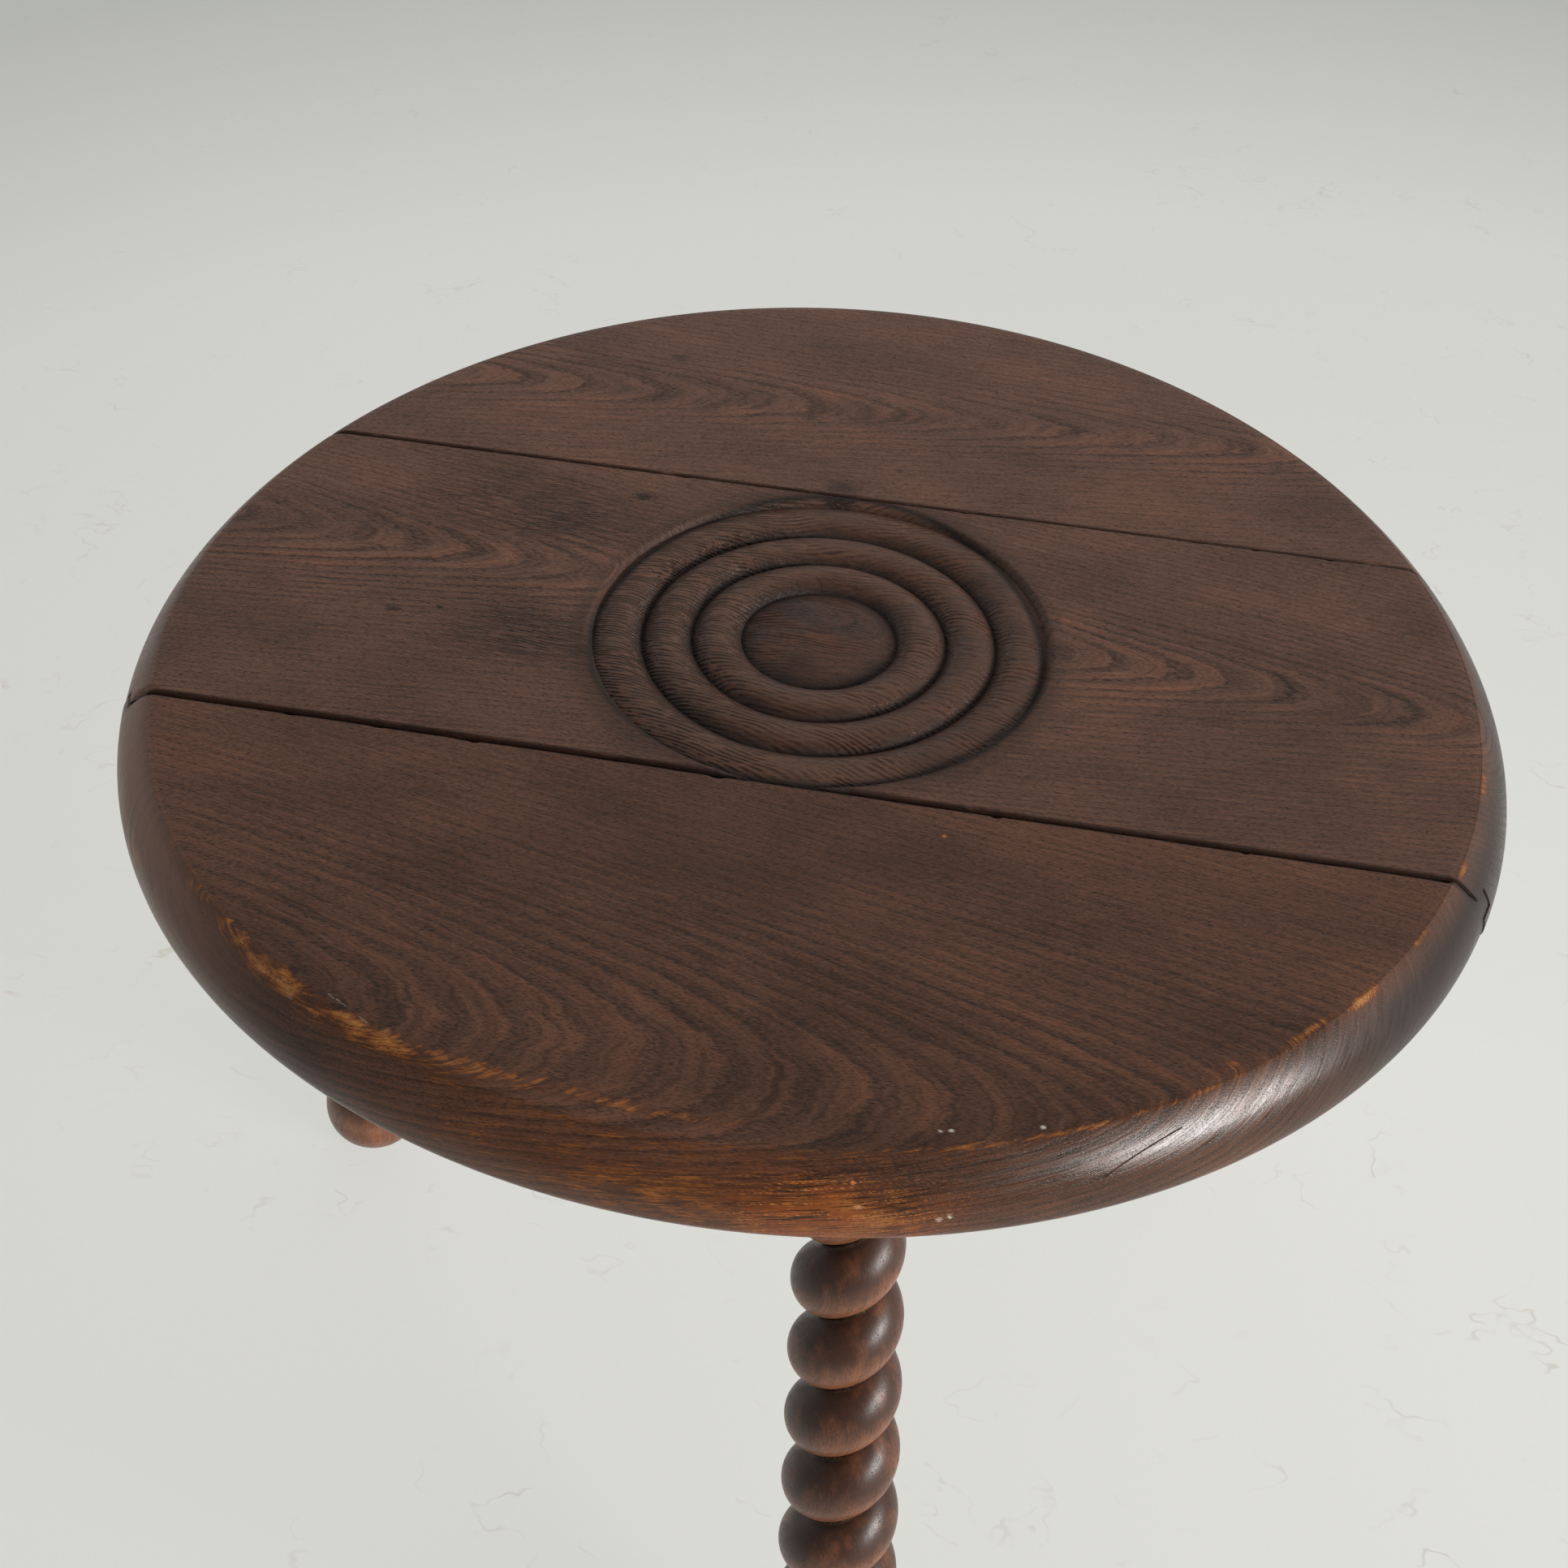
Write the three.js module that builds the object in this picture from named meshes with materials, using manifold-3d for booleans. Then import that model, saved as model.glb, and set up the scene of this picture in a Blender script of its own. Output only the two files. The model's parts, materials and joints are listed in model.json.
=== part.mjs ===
// A low tripod side table of dark oak, in millimetres, +Z up, standing on z = 0.
// Three boards make the round top. A bearer of a hub and three arms is screwed under them and
// carries three splayed legs, each carved as one right-handed rope that swells into a ball foot.
// X runs along the boards, and Y from the front board to the rear one.

import * as THREE from 'three';
import { mergeVertices } from 'three/addons/utils/BufferGeometryUtils.js';
import Module from 'manifold-3d';

// The whole table
const tableHeight = 520;
const topRadius = 300;
const spokeNames = ['front', 'rear', 'left'];
const frontSpokeTurn = THREE.MathUtils.degToRad(284.4);

// The top, cut round by hand from three joined boards, so that its outline wanders a little
const boardThickness = 30;
const acrossSwell = 1.8;
const lobeSwell = 2.8;
const rimWidth = 16;
const lowerRoundWidth = 3;
const lowerRoundRise = 4;

// The carving in the middle of the top: a boss and round beads between sharp grooves
const carvingRadius = 99.4;
const carvingWallRun = 2.6;
const carvingDepth = 6;
const carvingSink = 1;
const bossRadius = 34.2;
const beadCount = 3;

// The middle board just holds the carving. Its joints have opened as the oak shrank, more at one
// end than at the other, and the front board has slipped a little along its joint.
const frontJointMargin = 0.3;
const rearJointMargin = 5.8;
const frontGapLeft = 3.6;
const frontGapRight = 2.7;
const rearGapLeft = 2.4;
const rearGapRight = 0.5;
const frontBoardSlip = 1.2;
const tongueThickness = 8;
const tongueLength = 10;
const tongueClearance = 0.4;

// The bearer under the top
const bearerDepth = 38;
const hubRadius = 62;
const hubEdgeRound = 7;
const armWidth = 56;
const armTipRun = 34;
const armTaperRun = 27;
const armTipDepth = 17;
const armTenonWidth = 12;
const armTenonHeight = 22;
const armTenonLength = 29;
const pegRadius = 4;
const pegInset = 15;
const pegStandOut = 0.8;

// The legs
const legTopInset = 105;
const legFootInset = 3;
const ballRadius = 30.4;
const ballFlat = 1.2;
const twistPitch = 38.75;
const valleyDepth = 13;
const twistHeadRadius = 20.9;
const twistFootDrawIn = 0.2;
const twistStartRound = 12;
const twistStartSwell = 5.5;
const grooveRunOut = 22;
const neckRadius = 18.4;
const neckLength = 12;
const legTenonRadius = 13;
const shoulderSeatDepth = 4.4;
const kerfDepth = 25;
const kerfWidth = 3.4;
const kerfRootWidth = 1.6;
const wedgeInset = 0.9;

// Slotted countersunk wood screws
const screwLength = 45;
const screwBite = 17;
const screwHeadRadius = 4.8;
const screwHeadRim = 0.6;
const screwHeadCone = 2.6;
const screwShankRadius = 2.4;
const screwPointLength = 7;
const screwSlotWidth = 1.2;
const screwSlotDepth = 1.3;
const counterboreRadius = 6.4;
const innerScrewOffset = 20;
const legScrewOffset = 32;
const hubScrewInset = 21;

// Fits and fineness
const seatGap = 0.3;
const fitGap = 0.3;
const overrun = 5;
const weldTolerance = 1e-4;
const outlineSegments = 72;
const carvingSegments = 48;
const hubSegments = 36;
const legSegments = 14;
const rollSteps = 6;
const ballSegments = 20;
const ballRings = 12;
const roundSegments = 20;
const smallSegments = 10;

// Places worked out from the sizes
const undersideZ = tableHeight - boardThickness;
const rimDepth = boardThickness - lowerRoundRise;
const tongueLowZ = tableHeight - (boardThickness + tongueThickness) / 2;
const middleFrontReach = carvingRadius + frontJointMargin;
const middleRearReach = carvingRadius + rearJointMargin;
const bearerTopZ = undersideZ - seatGap;
const bearerBottomZ = bearerTopZ - bearerDepth;
const armTenonLowZ = bearerBottomZ + (bearerDepth - armTenonHeight) / 2;
const legTopRadius = topRadius - legTopInset;
const legFootRadius = topRadius - legFootInset;
const ballZ = ballRadius - ballFlat;
const legLength = Math.hypot(undersideZ - ballZ, legFootRadius - legTopRadius);
const splay = Math.atan2(legFootRadius - legTopRadius, undersideZ - ballZ);
const legSeatRadius = legTopRadius + (undersideZ - bearerBottomZ) * Math.tan(splay);
const armScrewRadii = [
  hubRadius + innerScrewOffset,
  legSeatRadius - legScrewOffset,
  legSeatRadius + legScrewOffset,
];
const armReach = legSeatRadius + legScrewOffset + armTipRun;
const hubScrewRadius = hubRadius - hubScrewInset;
const screwHeadZ = undersideZ + screwBite - screwLength;
const spokeStep = (2 * Math.PI) / spokeNames.length;
const spokeTurns = spokeNames.map((name, index) => frontSpokeTurn + index * spokeStep);

// Finishes
const finish = (color, roughness, metalness = 0) =>
  new THREE.MeshStandardMaterial({ color, roughness, metalness });
const boardOak = () => finish(0x4a3329, 0.45);
const legOak = () => finish(0x5a3c2c, 0.4);
const bearerOak = () => finish(0x6b4a33, 0.6);
const pegOak = () => finish(0x8a6545, 0.65);
const screwSteel = () => finish(0x77726a, 0.45, 0.9);

// Closed meshes as solids that can be joined and cut
const wasm = await Module();
wasm.setup();

function solidOf(geometry) {
  const bare = geometry.clone();
  bare.deleteAttribute('normal');
  bare.deleteAttribute('uv');
  const welded = mergeVertices(bare, weldTolerance);
  const corners = welded.index.array;
  const kept = [];
  for (let i = 0; i < corners.length; i += 3) {
    const [a, b, c] = corners.subarray(i, i + 3);
    if (a !== b && b !== c && c !== a) kept.push(a, b, c);
  }
  return new wasm.Manifold(new wasm.Mesh({
    numProp: 3,
    vertProperties: new Float32Array(welded.attributes.position.array),
    triVerts: new Uint32Array(kept),
  }));
}

function geometryOf(solid) {
  const mesh = solid.getMesh();
  const geometry = new THREE.BufferGeometry();
  geometry.setAttribute('position', new THREE.BufferAttribute(mesh.vertProperties, mesh.numProp));
  geometry.setIndex(new THREE.BufferAttribute(mesh.triVerts, 1));
  geometry.computeVertexNormals();
  return geometry;
}

// A shape turned about Z, from [radius, z] points that start and end on the axis, lowest first
function turned(points, segments) {
  const profile = points.map(([radius, z]) => new THREE.Vector2(radius, z));
  return new THREE.LatheGeometry(profile, segments).rotateX(Math.PI / 2);
}

// A block between its lowest and its highest corner
function block(low, high) {
  const [lowX, lowY, lowZ] = low;
  const [highX, highY, highZ] = high;
  const box = new THREE.BoxGeometry(highX - lowX, highY - lowY, highZ - lowZ);
  return box.translate((lowX + highX) / 2, (lowY + highY) / 2, (lowZ + highZ) / 2);
}

// A plan outline carried straight up from one height to another
function slab(outline, lowZ, highZ) {
  const shape = new THREE.Shape(outline.map(([x, y]) => new THREE.Vector2(x, y)));
  const depth = highZ - lowZ;
  return new THREE.ExtrudeGeometry(shape, { depth, bevelEnabled: false }).translate(0, 0, lowZ);
}

// The steps of a quarter turn, from none to all of it
function quarterTurn(steps) {
  return Array.from({ length: steps + 1 }, (unused, i) => (i / steps) * (Math.PI / 2));
}

// Screws stand head down. From the head's face at z = 0 up to the point, each radius is widened by
// the spare room that the screw's hole has.
function screwProfile(spare) {
  const slant = Math.atan2(screwHeadRadius - screwShankRadius, screwHeadCone);
  const lift = spare * (1 - Math.tan(slant / 2));
  return [
    [screwHeadRadius + spare, screwHeadRim + lift],
    [screwShankRadius + spare, screwHeadRim + screwHeadCone + lift],
    [screwShankRadius + spare, screwLength - screwPointLength],
    [0, screwLength + spare * (screwPointLength / screwShankRadius)],
  ];
}

function screwSolid() {
  const body = turned([[0, 0], [screwHeadRadius, 0], ...screwProfile(0)], smallSegments);
  const reach = screwHeadRadius + overrun;
  const slot = block(
    [-reach, -screwSlotWidth / 2, -overrun],
    [reach, screwSlotWidth / 2, screwSlotDepth],
  );
  return solidOf(body).subtract(solidOf(slot));
}

function screwHole(radius, turn) {
  const mouthZ = bearerBottomZ - overrun - screwHeadZ;
  const hole = turned([
    [0, mouthZ],
    [counterboreRadius, mouthZ],
    [counterboreRadius, screwHeadRim],
    ...screwProfile(fitGap),
  ], smallSegments);
  return solidOf(hole.translate(radius, 0, screwHeadZ).rotateZ(turn));
}

// The outline of the top, at an angle from the boards' direction
function outlineRadius(angle) {
  return topRadius - acrossSwell * Math.cos(2 * angle) - lobeSwell * Math.sin(3 * angle);
}

// The round top before it is parted into boards: flat above, with a rim that falls away more and
// more steeply to its widest point, and a small round under it
function topBlank() {
  const rimSteps = 5;
  const underSteps = 3;
  const points = [[0, undersideZ]];
  for (const angle of quarterTurn(underSteps).reverse()) {
    points.push([
      topRadius - lowerRoundWidth * (1 - Math.cos(angle)),
      tableHeight - rimDepth - lowerRoundRise * Math.sin(angle),
    ]);
  }
  for (let i = rimSteps - 1; i >= 0; i--) {
    const share = i / rimSteps;
    points.push([topRadius - rimWidth * (1 - share) ** 2, tableHeight - rimDepth * share]);
  }
  points.push([0, tableHeight]);
  const blank = turned(points, outlineSegments);
  const place = blank.attributes.position;
  for (let i = 0; i < place.count; i++) {
    const stretch = outlineRadius(Math.atan2(place.getY(i), place.getX(i))) / topRadius;
    place.setXY(i, place.getX(i) * stretch, place.getY(i) * stretch);
  }
  return blank;
}

// What the carver takes out of the middle board
function carvingCutter() {
  const beadSteps = 5;
  const bossSteps = 3;
  const rise = carvingDepth - carvingSink;
  const grooveZ = tableHeight - carvingDepth;
  const beadWidth = (carvingRadius - bossRadius) / beadCount;
  // The height of an arc over its chord, at a distance from its middle
  const arcHeight = (offset, halfWidth) => {
    const radius = (halfWidth ** 2 + rise ** 2) / (2 * rise);
    return Math.sqrt(radius ** 2 - offset ** 2) - (radius - rise);
  };
  const points = [];
  for (let i = 0; i <= bossSteps; i++) {
    const offset = bossRadius * (i / bossSteps);
    points.push([offset, grooveZ + arcHeight(offset, bossRadius)]);
  }
  for (let bead = 0; bead < beadCount; bead++) {
    const middle = bossRadius + beadWidth * (bead + 1 / 2);
    for (let i = 1; i <= beadSteps; i++) {
      const offset = beadWidth * (i / beadSteps - 1 / 2);
      points.push([middle + offset, grooveZ + arcHeight(offset, beadWidth / 2)]);
    }
  }
  const mouthRadius = carvingRadius + carvingWallRun;
  points.push([mouthRadius, tableHeight]);
  points.push([mouthRadius, tableHeight + overrun]);
  points.push([0, tableHeight + overrun]);
  return turned(points, carvingSegments);
}

// The three boards: each board's plan, with a tongue along its rear edge or a groove along its
// front one, kept to the round blank
function boardSolids() {
  const wide = topRadius + lobeSwell + acrossSwell + overrun;
  const lowZ = undersideZ - overrun;
  const highZ = tableHeight + overrun;
  const frontEdge = [-middleFrontReach - frontGapLeft, -middleFrontReach - frontGapRight];
  const middleFrontEdge = [-middleFrontReach, -middleFrontReach];
  const middleRearEdge = [middleRearReach, middleRearReach];
  const rearEdge = [middleRearReach + rearGapLeft, middleRearReach + rearGapRight];

  // The strip between two edges, each given as its y at the left and at the right
  const strip = ([frontLeft, frontRight], [rearLeft, rearRight], bottomZ, topZ) => solidOf(slab([
    [-wide, frontLeft], [wide, frontRight], [wide, rearRight], [-wide, rearLeft],
  ], bottomZ, topZ));
  const moved = (edge, run) => edge.map((y) => y + run);
  const tongue = (edge) => strip(
    moved(edge, -overrun),
    moved(edge, tongueLength),
    tongueLowZ,
    tongueLowZ + tongueThickness,
  );
  const groove = (edge) => strip(
    moved(edge, -overrun),
    moved(edge, tongueLength + tongueClearance),
    tongueLowZ - tongueClearance,
    tongueLowZ + tongueThickness + tongueClearance,
  );

  const front = strip([-wide, -wide], frontEdge, lowZ, highZ)
    .add(tongue(frontEdge))
    .intersect(solidOf(topBlank().translate(-frontBoardSlip, 0, 0)));
  const middle = strip(middleFrontEdge, middleRearEdge, lowZ, highZ)
    .add(tongue(middleRearEdge))
    .intersect(solidOf(topBlank()))
    .subtract(groove(middleFrontEdge))
    .subtract(solidOf(carvingCutter()));
  const rear = strip(rearEdge, [wide, wide], lowZ, highZ)
    .intersect(solidOf(topBlank()))
    .subtract(groove(rearEdge));

  // The blind holes that the screws cut from below
  const boards = { front, middle, rear };
  for (const turn of spokeTurns) {
    const holes = armScrewRadii.map((radius) => screwHole(radius, turn));
    holes.push(screwHole(hubScrewRadius, turn + spokeStep / 2));
    for (const hole of holes) {
      for (const name of Object.keys(boards)) boards[name] = boards[name].subtract(hole);
    }
  }
  return boards;
}

// The pegs and the hub
function pegGeometry(spare, turn) {
  const lowZ = bearerBottomZ - pegStandOut - spare;
  const highZ = bearerTopZ + spare;
  const radius = pegRadius + spare;
  const peg = turned([[0, lowZ], [radius, lowZ], [radius, highZ], [0, highZ]], smallSegments);
  return peg.translate(hubRadius - pegInset, 0, 0).rotateZ(turn);
}

// A turned block with a rounded lower edge, mortised and bored for what it joins
function hubSolid() {
  const roundSteps = 3;
  const points = [[0, bearerBottomZ]];
  for (const angle of quarterTurn(roundSteps)) {
    points.push([
      hubRadius - hubEdgeRound * (1 - Math.sin(angle)),
      bearerBottomZ + hubEdgeRound * (1 - Math.cos(angle)),
    ]);
  }
  points.push([hubRadius, bearerTopZ], [0, bearerTopZ]);
  const mortise = block(
    [hubRadius - armTenonLength - fitGap, -armTenonWidth / 2 - fitGap, armTenonLowZ - fitGap],
    [hubRadius + overrun, armTenonWidth / 2 + fitGap, armTenonLowZ + armTenonHeight + fitGap],
  );
  let hub = solidOf(turned(points, hubSegments).rotateZ(frontSpokeTurn));
  for (const turn of spokeTurns) {
    hub = hub
      .subtract(solidOf(mortise.clone().rotateZ(turn)))
      .subtract(solidOf(pegGeometry(fitGap, turn)))
      .subtract(screwHole(hubScrewRadius, turn + spokeStep / 2));
  }
  return hub;
}

// The legs stand in a plane of their own, with X pointing outwards from the table's axis. A leg is
// made upright on its ball's centre, and this leans it to its place.
const legPlacement = new THREE.Matrix4().makeRotationY(-splay).setPosition(legFootRadius, 0, ballZ);
const shoulderAt = legLength - (undersideZ - bearerBottomZ - shoulderSeatDepth) / Math.cos(splay);
const twistTopAt = shoulderAt - neckLength;
const twistFootRadius = ballRadius - twistFootDrawIn;

function crestRadius(z) {
  return THREE.MathUtils.mapLinear(z, 0, legLength, twistFootRadius, twistHeadRadius);
}

// One strand wound right-handed about the leg's axis, each turn touching the next at a sharp valley.
// Along the axis the outline is a row of equal arcs, and at each angle it is shifted by that share
// of a pitch. The rows of points follow the winding, so that the valley is a true edge.
function ropeGeometry(lowZ, highZ) {
  const halfPitch = twistPitch / 2;
  const arcRadius = (halfPitch ** 2 + valleyDepth ** 2) / (2 * valleyDepth);
  const arcReach = 2 * Math.atan2(valleyDepth, halfPitch);
  const firstTurn = Math.floor(lowZ / twistPitch) - 1;
  const rows = (Math.ceil(highZ / twistPitch) + 1 - firstTurn) * rollSteps;
  const pointAt = (column, row) => {
    const angle = (column / legSegments) * 2 * Math.PI;
    const arc = arcReach * ((2 * (row % rollSteps)) / rollSteps - 1);
    const turn = firstTurn + Math.floor(row / rollSteps) + column / legSegments;
    const z = twistPitch * turn + arcRadius * Math.sin(arc);
    const radius = crestRadius(z) - arcRadius * (1 - Math.cos(arc));
    return [radius * Math.cos(angle), radius * Math.sin(angle), z];
  };
  // The first column runs one turn further up, because the last column joins it a turn higher
  const points = [];
  const first = [];
  for (let column = 0; column < legSegments; column++) {
    first.push(points.length / 3);
    const last = column === 0 ? rows + rollSteps : rows;
    for (let row = 0; row <= last; row++) points.push(...pointAt(column, row));
  }
  const corner = (column, row) =>
    (column === legSegments ? first[0] + row + rollSteps : first[column] + row);
  const faces = [];
  for (let column = 0; column < legSegments; column++) {
    for (let row = 0; row < rows; row++) {
      const [a, b] = [corner(column, row), corner(column + 1, row)];
      const [c, d] = [corner(column + 1, row + 1), corner(column, row + 1)];
      faces.push(a, b, c, a, c, d);
    }
  }
  // Each end is a fan from the axis, round the winding edge and down its step
  for (const row of [0, rows]) {
    const tip = points.length / 3;
    points.push(0, 0, pointAt(0, row)[2] + halfPitch);
    const edge = [];
    for (let column = 0; column <= legSegments; column++) edge.push(corner(column, row));
    for (let step = rollSteps - 1; step >= 0; step--) edge.push(first[0] + row + step);
    for (let i = 1; i < edge.length; i++) {
      if (row === 0) faces.push(tip, edge[i], edge[i - 1]);
      else faces.push(tip, edge[i - 1], edge[i]);
    }
  }
  const rope = new THREE.BufferGeometry();
  rope.setAttribute('position', new THREE.Float32BufferAttribute(points, 3));
  rope.setIndex(faces);
  return rope;
}

// What the twist keeps within: from the ball's middle up to a rounded start under the neck
function twistEnvelope() {
  const roundSteps = 3;
  const wideRadius = twistFootRadius + overrun;
  const points = [[0, 0], [ballRadius, 0], [wideRadius, ballRadius]];
  points.push([wideRadius, twistTopAt - 2 * twistStartRound]);
  for (const angle of quarterTurn(roundSteps)) {
    points.push([
      neckRadius + twistStartSwell * Math.cos(angle),
      twistTopAt - twistStartRound * (1 - Math.sin(angle)),
    ]);
  }
  points.push([0, twistTopAt]);
  return turned(points, roundSegments);
}

// The neck and the round tenon, on a core that fills the groove as it runs out
function stemGeometry() {
  const coreRadius = crestRadius(twistTopAt) - valleyDepth;
  const topAt = legLength + legTenonRadius;
  return turned([
    [0, twistTopAt - grooveRunOut],
    [coreRadius, twistTopAt - grooveRunOut],
    [neckRadius, twistTopAt],
    [neckRadius, shoulderAt],
    [legTenonRadius, shoulderAt],
    [legTenonRadius, topAt],
    [0, topAt],
  ], roundSegments);
}

// The saw kerf in a leg's tenon, narrower downwards, and drawn in by a gap for its wedge
function kerfGeometry(gap, halfLength) {
  const rootAt = legLength - kerfDepth + gap;
  const topAt = legLength + legTenonRadius + overrun;
  const lean = (kerfWidth - kerfRootWidth) / (2 * kerfDepth);
  const rootHalf = kerfRootWidth / 2 - gap;
  const topHalf = rootHalf + lean * (topAt - rootAt);
  const outline = [[-rootHalf, rootAt], [rootHalf, rootAt], [topHalf, topAt], [-topHalf, topAt]];
  return slab(outline, -halfLength, halfLength).rotateX(Math.PI / 2);
}

// Cuts a leg's tenon or wedge flush with the bearer's upper face
function bearerTopCutter() {
  const wide = legTenonRadius + armWidth;
  return solidOf(block(
    [legTopRadius - wide, -wide, bearerTopZ],
    [legTopRadius + wide, wide, bearerTopZ + wide],
  ));
}

function legSolid() {
  const ball = new THREE.SphereGeometry(ballRadius, ballSegments, ballRings).rotateX(Math.PI / 2);
  const upright = solidOf(ropeGeometry(0, twistTopAt))
    .intersect(solidOf(twistEnvelope()))
    .add(solidOf(ball))
    .add(solidOf(stemGeometry()))
    .subtract(solidOf(kerfGeometry(0, legTenonRadius + overrun)));
  const wide = 2 * ballRadius;
  const floor = block([legFootRadius - wide, -wide, -wide], [legFootRadius + wide, wide, 0]);
  return solidOf(geometryOf(upright).applyMatrix4(legPlacement))
    .subtract(solidOf(floor))
    .subtract(bearerTopCutter());
}

function wedgeSolid() {
  const wedge = kerfGeometry(fitGap, legTenonRadius - wedgeInset).applyMatrix4(legPlacement);
  return solidOf(wedge).subtract(bearerTopCutter());
}

// An arm of the bearer, in a leg's plane: scribed to the hub and tenoned into it, thinned on its
// underside towards its end, with a slanted hole and a flat seat for the leg
function armSolid() {
  const rootRadius = hubRadius - overrun;
  const side = new THREE.Shape([
    new THREE.Vector2(rootRadius, bearerBottomZ),
    new THREE.Vector2(armReach - armTaperRun, bearerBottomZ),
    new THREE.Vector2(armReach, bearerTopZ - armTipDepth),
    new THREE.Vector2(armReach, bearerTopZ),
    new THREE.Vector2(rootRadius, bearerTopZ),
  ]);
  const bar = new THREE.ExtrudeGeometry(side, { depth: armWidth, bevelEnabled: false });
  bar.translate(0, 0, -armWidth / 2).rotateX(Math.PI / 2);
  const hubRoom = turned([
    [0, bearerBottomZ - overrun],
    [hubRadius + fitGap, bearerBottomZ - overrun],
    [hubRadius + fitGap, bearerTopZ + overrun],
    [0, bearerTopZ + overrun],
  ], hubSegments);
  const tenon = block(
    [hubRadius - armTenonLength, -armTenonWidth / 2, armTenonLowZ],
    [hubRadius + overrun, armTenonWidth / 2, armTenonLowZ + armTenonHeight],
  );
  const legHole = turned([
    [0, shoulderAt + seatGap - bearerDepth],
    [neckRadius + fitGap, shoulderAt + seatGap - bearerDepth],
    [neckRadius + fitGap, shoulderAt + seatGap],
    [legTenonRadius + fitGap, shoulderAt + seatGap],
    [legTenonRadius + fitGap, legLength + bearerDepth],
    [0, legLength + bearerDepth],
  ], roundSegments).applyMatrix4(legPlacement);
  let arm = solidOf(bar)
    .subtract(solidOf(hubRoom))
    .add(solidOf(tenon))
    .subtract(solidOf(legHole))
    .subtract(solidOf(pegGeometry(fitGap, 0)));
  for (const radius of armScrewRadii) arm = arm.subtract(screwHole(radius, 0));
  return arm;
}

// The table put together: the boards, the hub, and three spokes that are alike
function piece(name, geometry, material) {
  const mesh = new THREE.Mesh(geometry, material);
  mesh.name = name;
  return mesh;
}

const standing = new THREE.Group();
for (const [name, board] of Object.entries(boardSolids())) {
  standing.add(piece(`${name}_board`, geometryOf(board), boardOak()));
}
standing.add(piece('hub', geometryOf(hubSolid()), bearerOak()));

const arm = geometryOf(armSolid());
const leg = geometryOf(legSolid());
const wedge = geometryOf(wedgeSolid());
const peg = pegGeometry(0, 0);
const screw = geometryOf(screwSolid());

spokeNames.forEach((name, index) => {
  const spoke = new THREE.Group();
  spoke.rotation.z = spokeTurns[index];
  spoke.add(piece(`arm_${name}`, arm, bearerOak()));
  spoke.add(piece(`leg_${name}`, leg, legOak()));
  spoke.add(piece(`wedge_${name}`, wedge, pegOak()));
  spoke.add(piece(`peg_${name}`, peg, pegOak()));
  ['inner', 'middle', 'outer'].forEach((place, order) => {
    const armScrew = piece(`screw_${name}_${place}`, screw, screwSteel());
    armScrew.position.set(armScrewRadii[order], 0, screwHeadZ);
    spoke.add(armScrew);
  });
  standing.add(spoke);

  const between = new THREE.Group();
  between.rotation.z = spokeTurns[index] + spokeStep / 2;
  const hubScrew = piece(`screw_hub_${name}`, screw, screwSteel());
  hubScrew.position.set(hubScrewRadius, 0, screwHeadZ);
  between.add(hubScrew);
  standing.add(between);
});

// The origin lies on the floor, in the middle of the box that the whole table fills
standing.updateMatrixWorld(true);
const filled = new THREE.Box3().setFromObject(standing, true).getCenter(new THREE.Vector3());
standing.position.set(-filled.x, -filled.y, 0);

const table = new THREE.Group();
table.add(standing);

export default table;
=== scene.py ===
import json
import math

import bmesh
import bpy
import numpy as np
from mathutils import Matrix, Vector

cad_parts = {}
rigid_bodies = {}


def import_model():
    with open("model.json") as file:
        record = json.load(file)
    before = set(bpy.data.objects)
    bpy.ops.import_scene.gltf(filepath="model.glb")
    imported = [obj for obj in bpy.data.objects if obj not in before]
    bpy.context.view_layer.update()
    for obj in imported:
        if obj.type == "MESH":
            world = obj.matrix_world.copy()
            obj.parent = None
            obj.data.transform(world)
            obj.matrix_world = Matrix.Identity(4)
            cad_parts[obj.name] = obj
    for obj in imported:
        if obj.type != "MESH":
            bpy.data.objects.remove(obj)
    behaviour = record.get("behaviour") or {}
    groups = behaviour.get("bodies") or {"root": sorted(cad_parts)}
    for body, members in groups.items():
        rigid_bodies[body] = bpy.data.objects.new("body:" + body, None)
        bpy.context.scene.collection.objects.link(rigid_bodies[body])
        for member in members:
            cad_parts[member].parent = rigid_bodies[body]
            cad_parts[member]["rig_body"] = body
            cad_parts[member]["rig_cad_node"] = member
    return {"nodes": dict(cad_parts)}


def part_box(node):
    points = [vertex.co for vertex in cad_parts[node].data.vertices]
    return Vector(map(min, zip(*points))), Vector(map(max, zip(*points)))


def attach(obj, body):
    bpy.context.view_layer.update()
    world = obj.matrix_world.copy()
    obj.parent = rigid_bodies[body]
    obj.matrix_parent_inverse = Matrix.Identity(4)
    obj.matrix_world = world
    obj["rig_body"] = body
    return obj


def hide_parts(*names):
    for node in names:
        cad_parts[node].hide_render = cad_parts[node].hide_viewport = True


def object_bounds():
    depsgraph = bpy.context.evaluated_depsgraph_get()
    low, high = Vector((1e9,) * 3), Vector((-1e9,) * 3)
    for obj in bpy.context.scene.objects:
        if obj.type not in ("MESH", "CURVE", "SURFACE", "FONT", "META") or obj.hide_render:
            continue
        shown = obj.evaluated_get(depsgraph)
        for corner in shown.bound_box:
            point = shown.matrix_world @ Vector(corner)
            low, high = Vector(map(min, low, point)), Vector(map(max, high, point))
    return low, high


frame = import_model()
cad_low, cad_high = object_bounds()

MM = 0.001

# The camera is held a metre above the floor and 0.4 m before the table's front edge, a little to
# the right of its middle, and looks down on the round top. The top's axis is the hub's middle.
hub_low, hub_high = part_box("hub")
top_axis = (hub_low + hub_high) / 2
TOP_X, TOP_Y, TOP_Z = top_axis.x / MM, top_axis.y / MM, cad_high.z / MM

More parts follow.
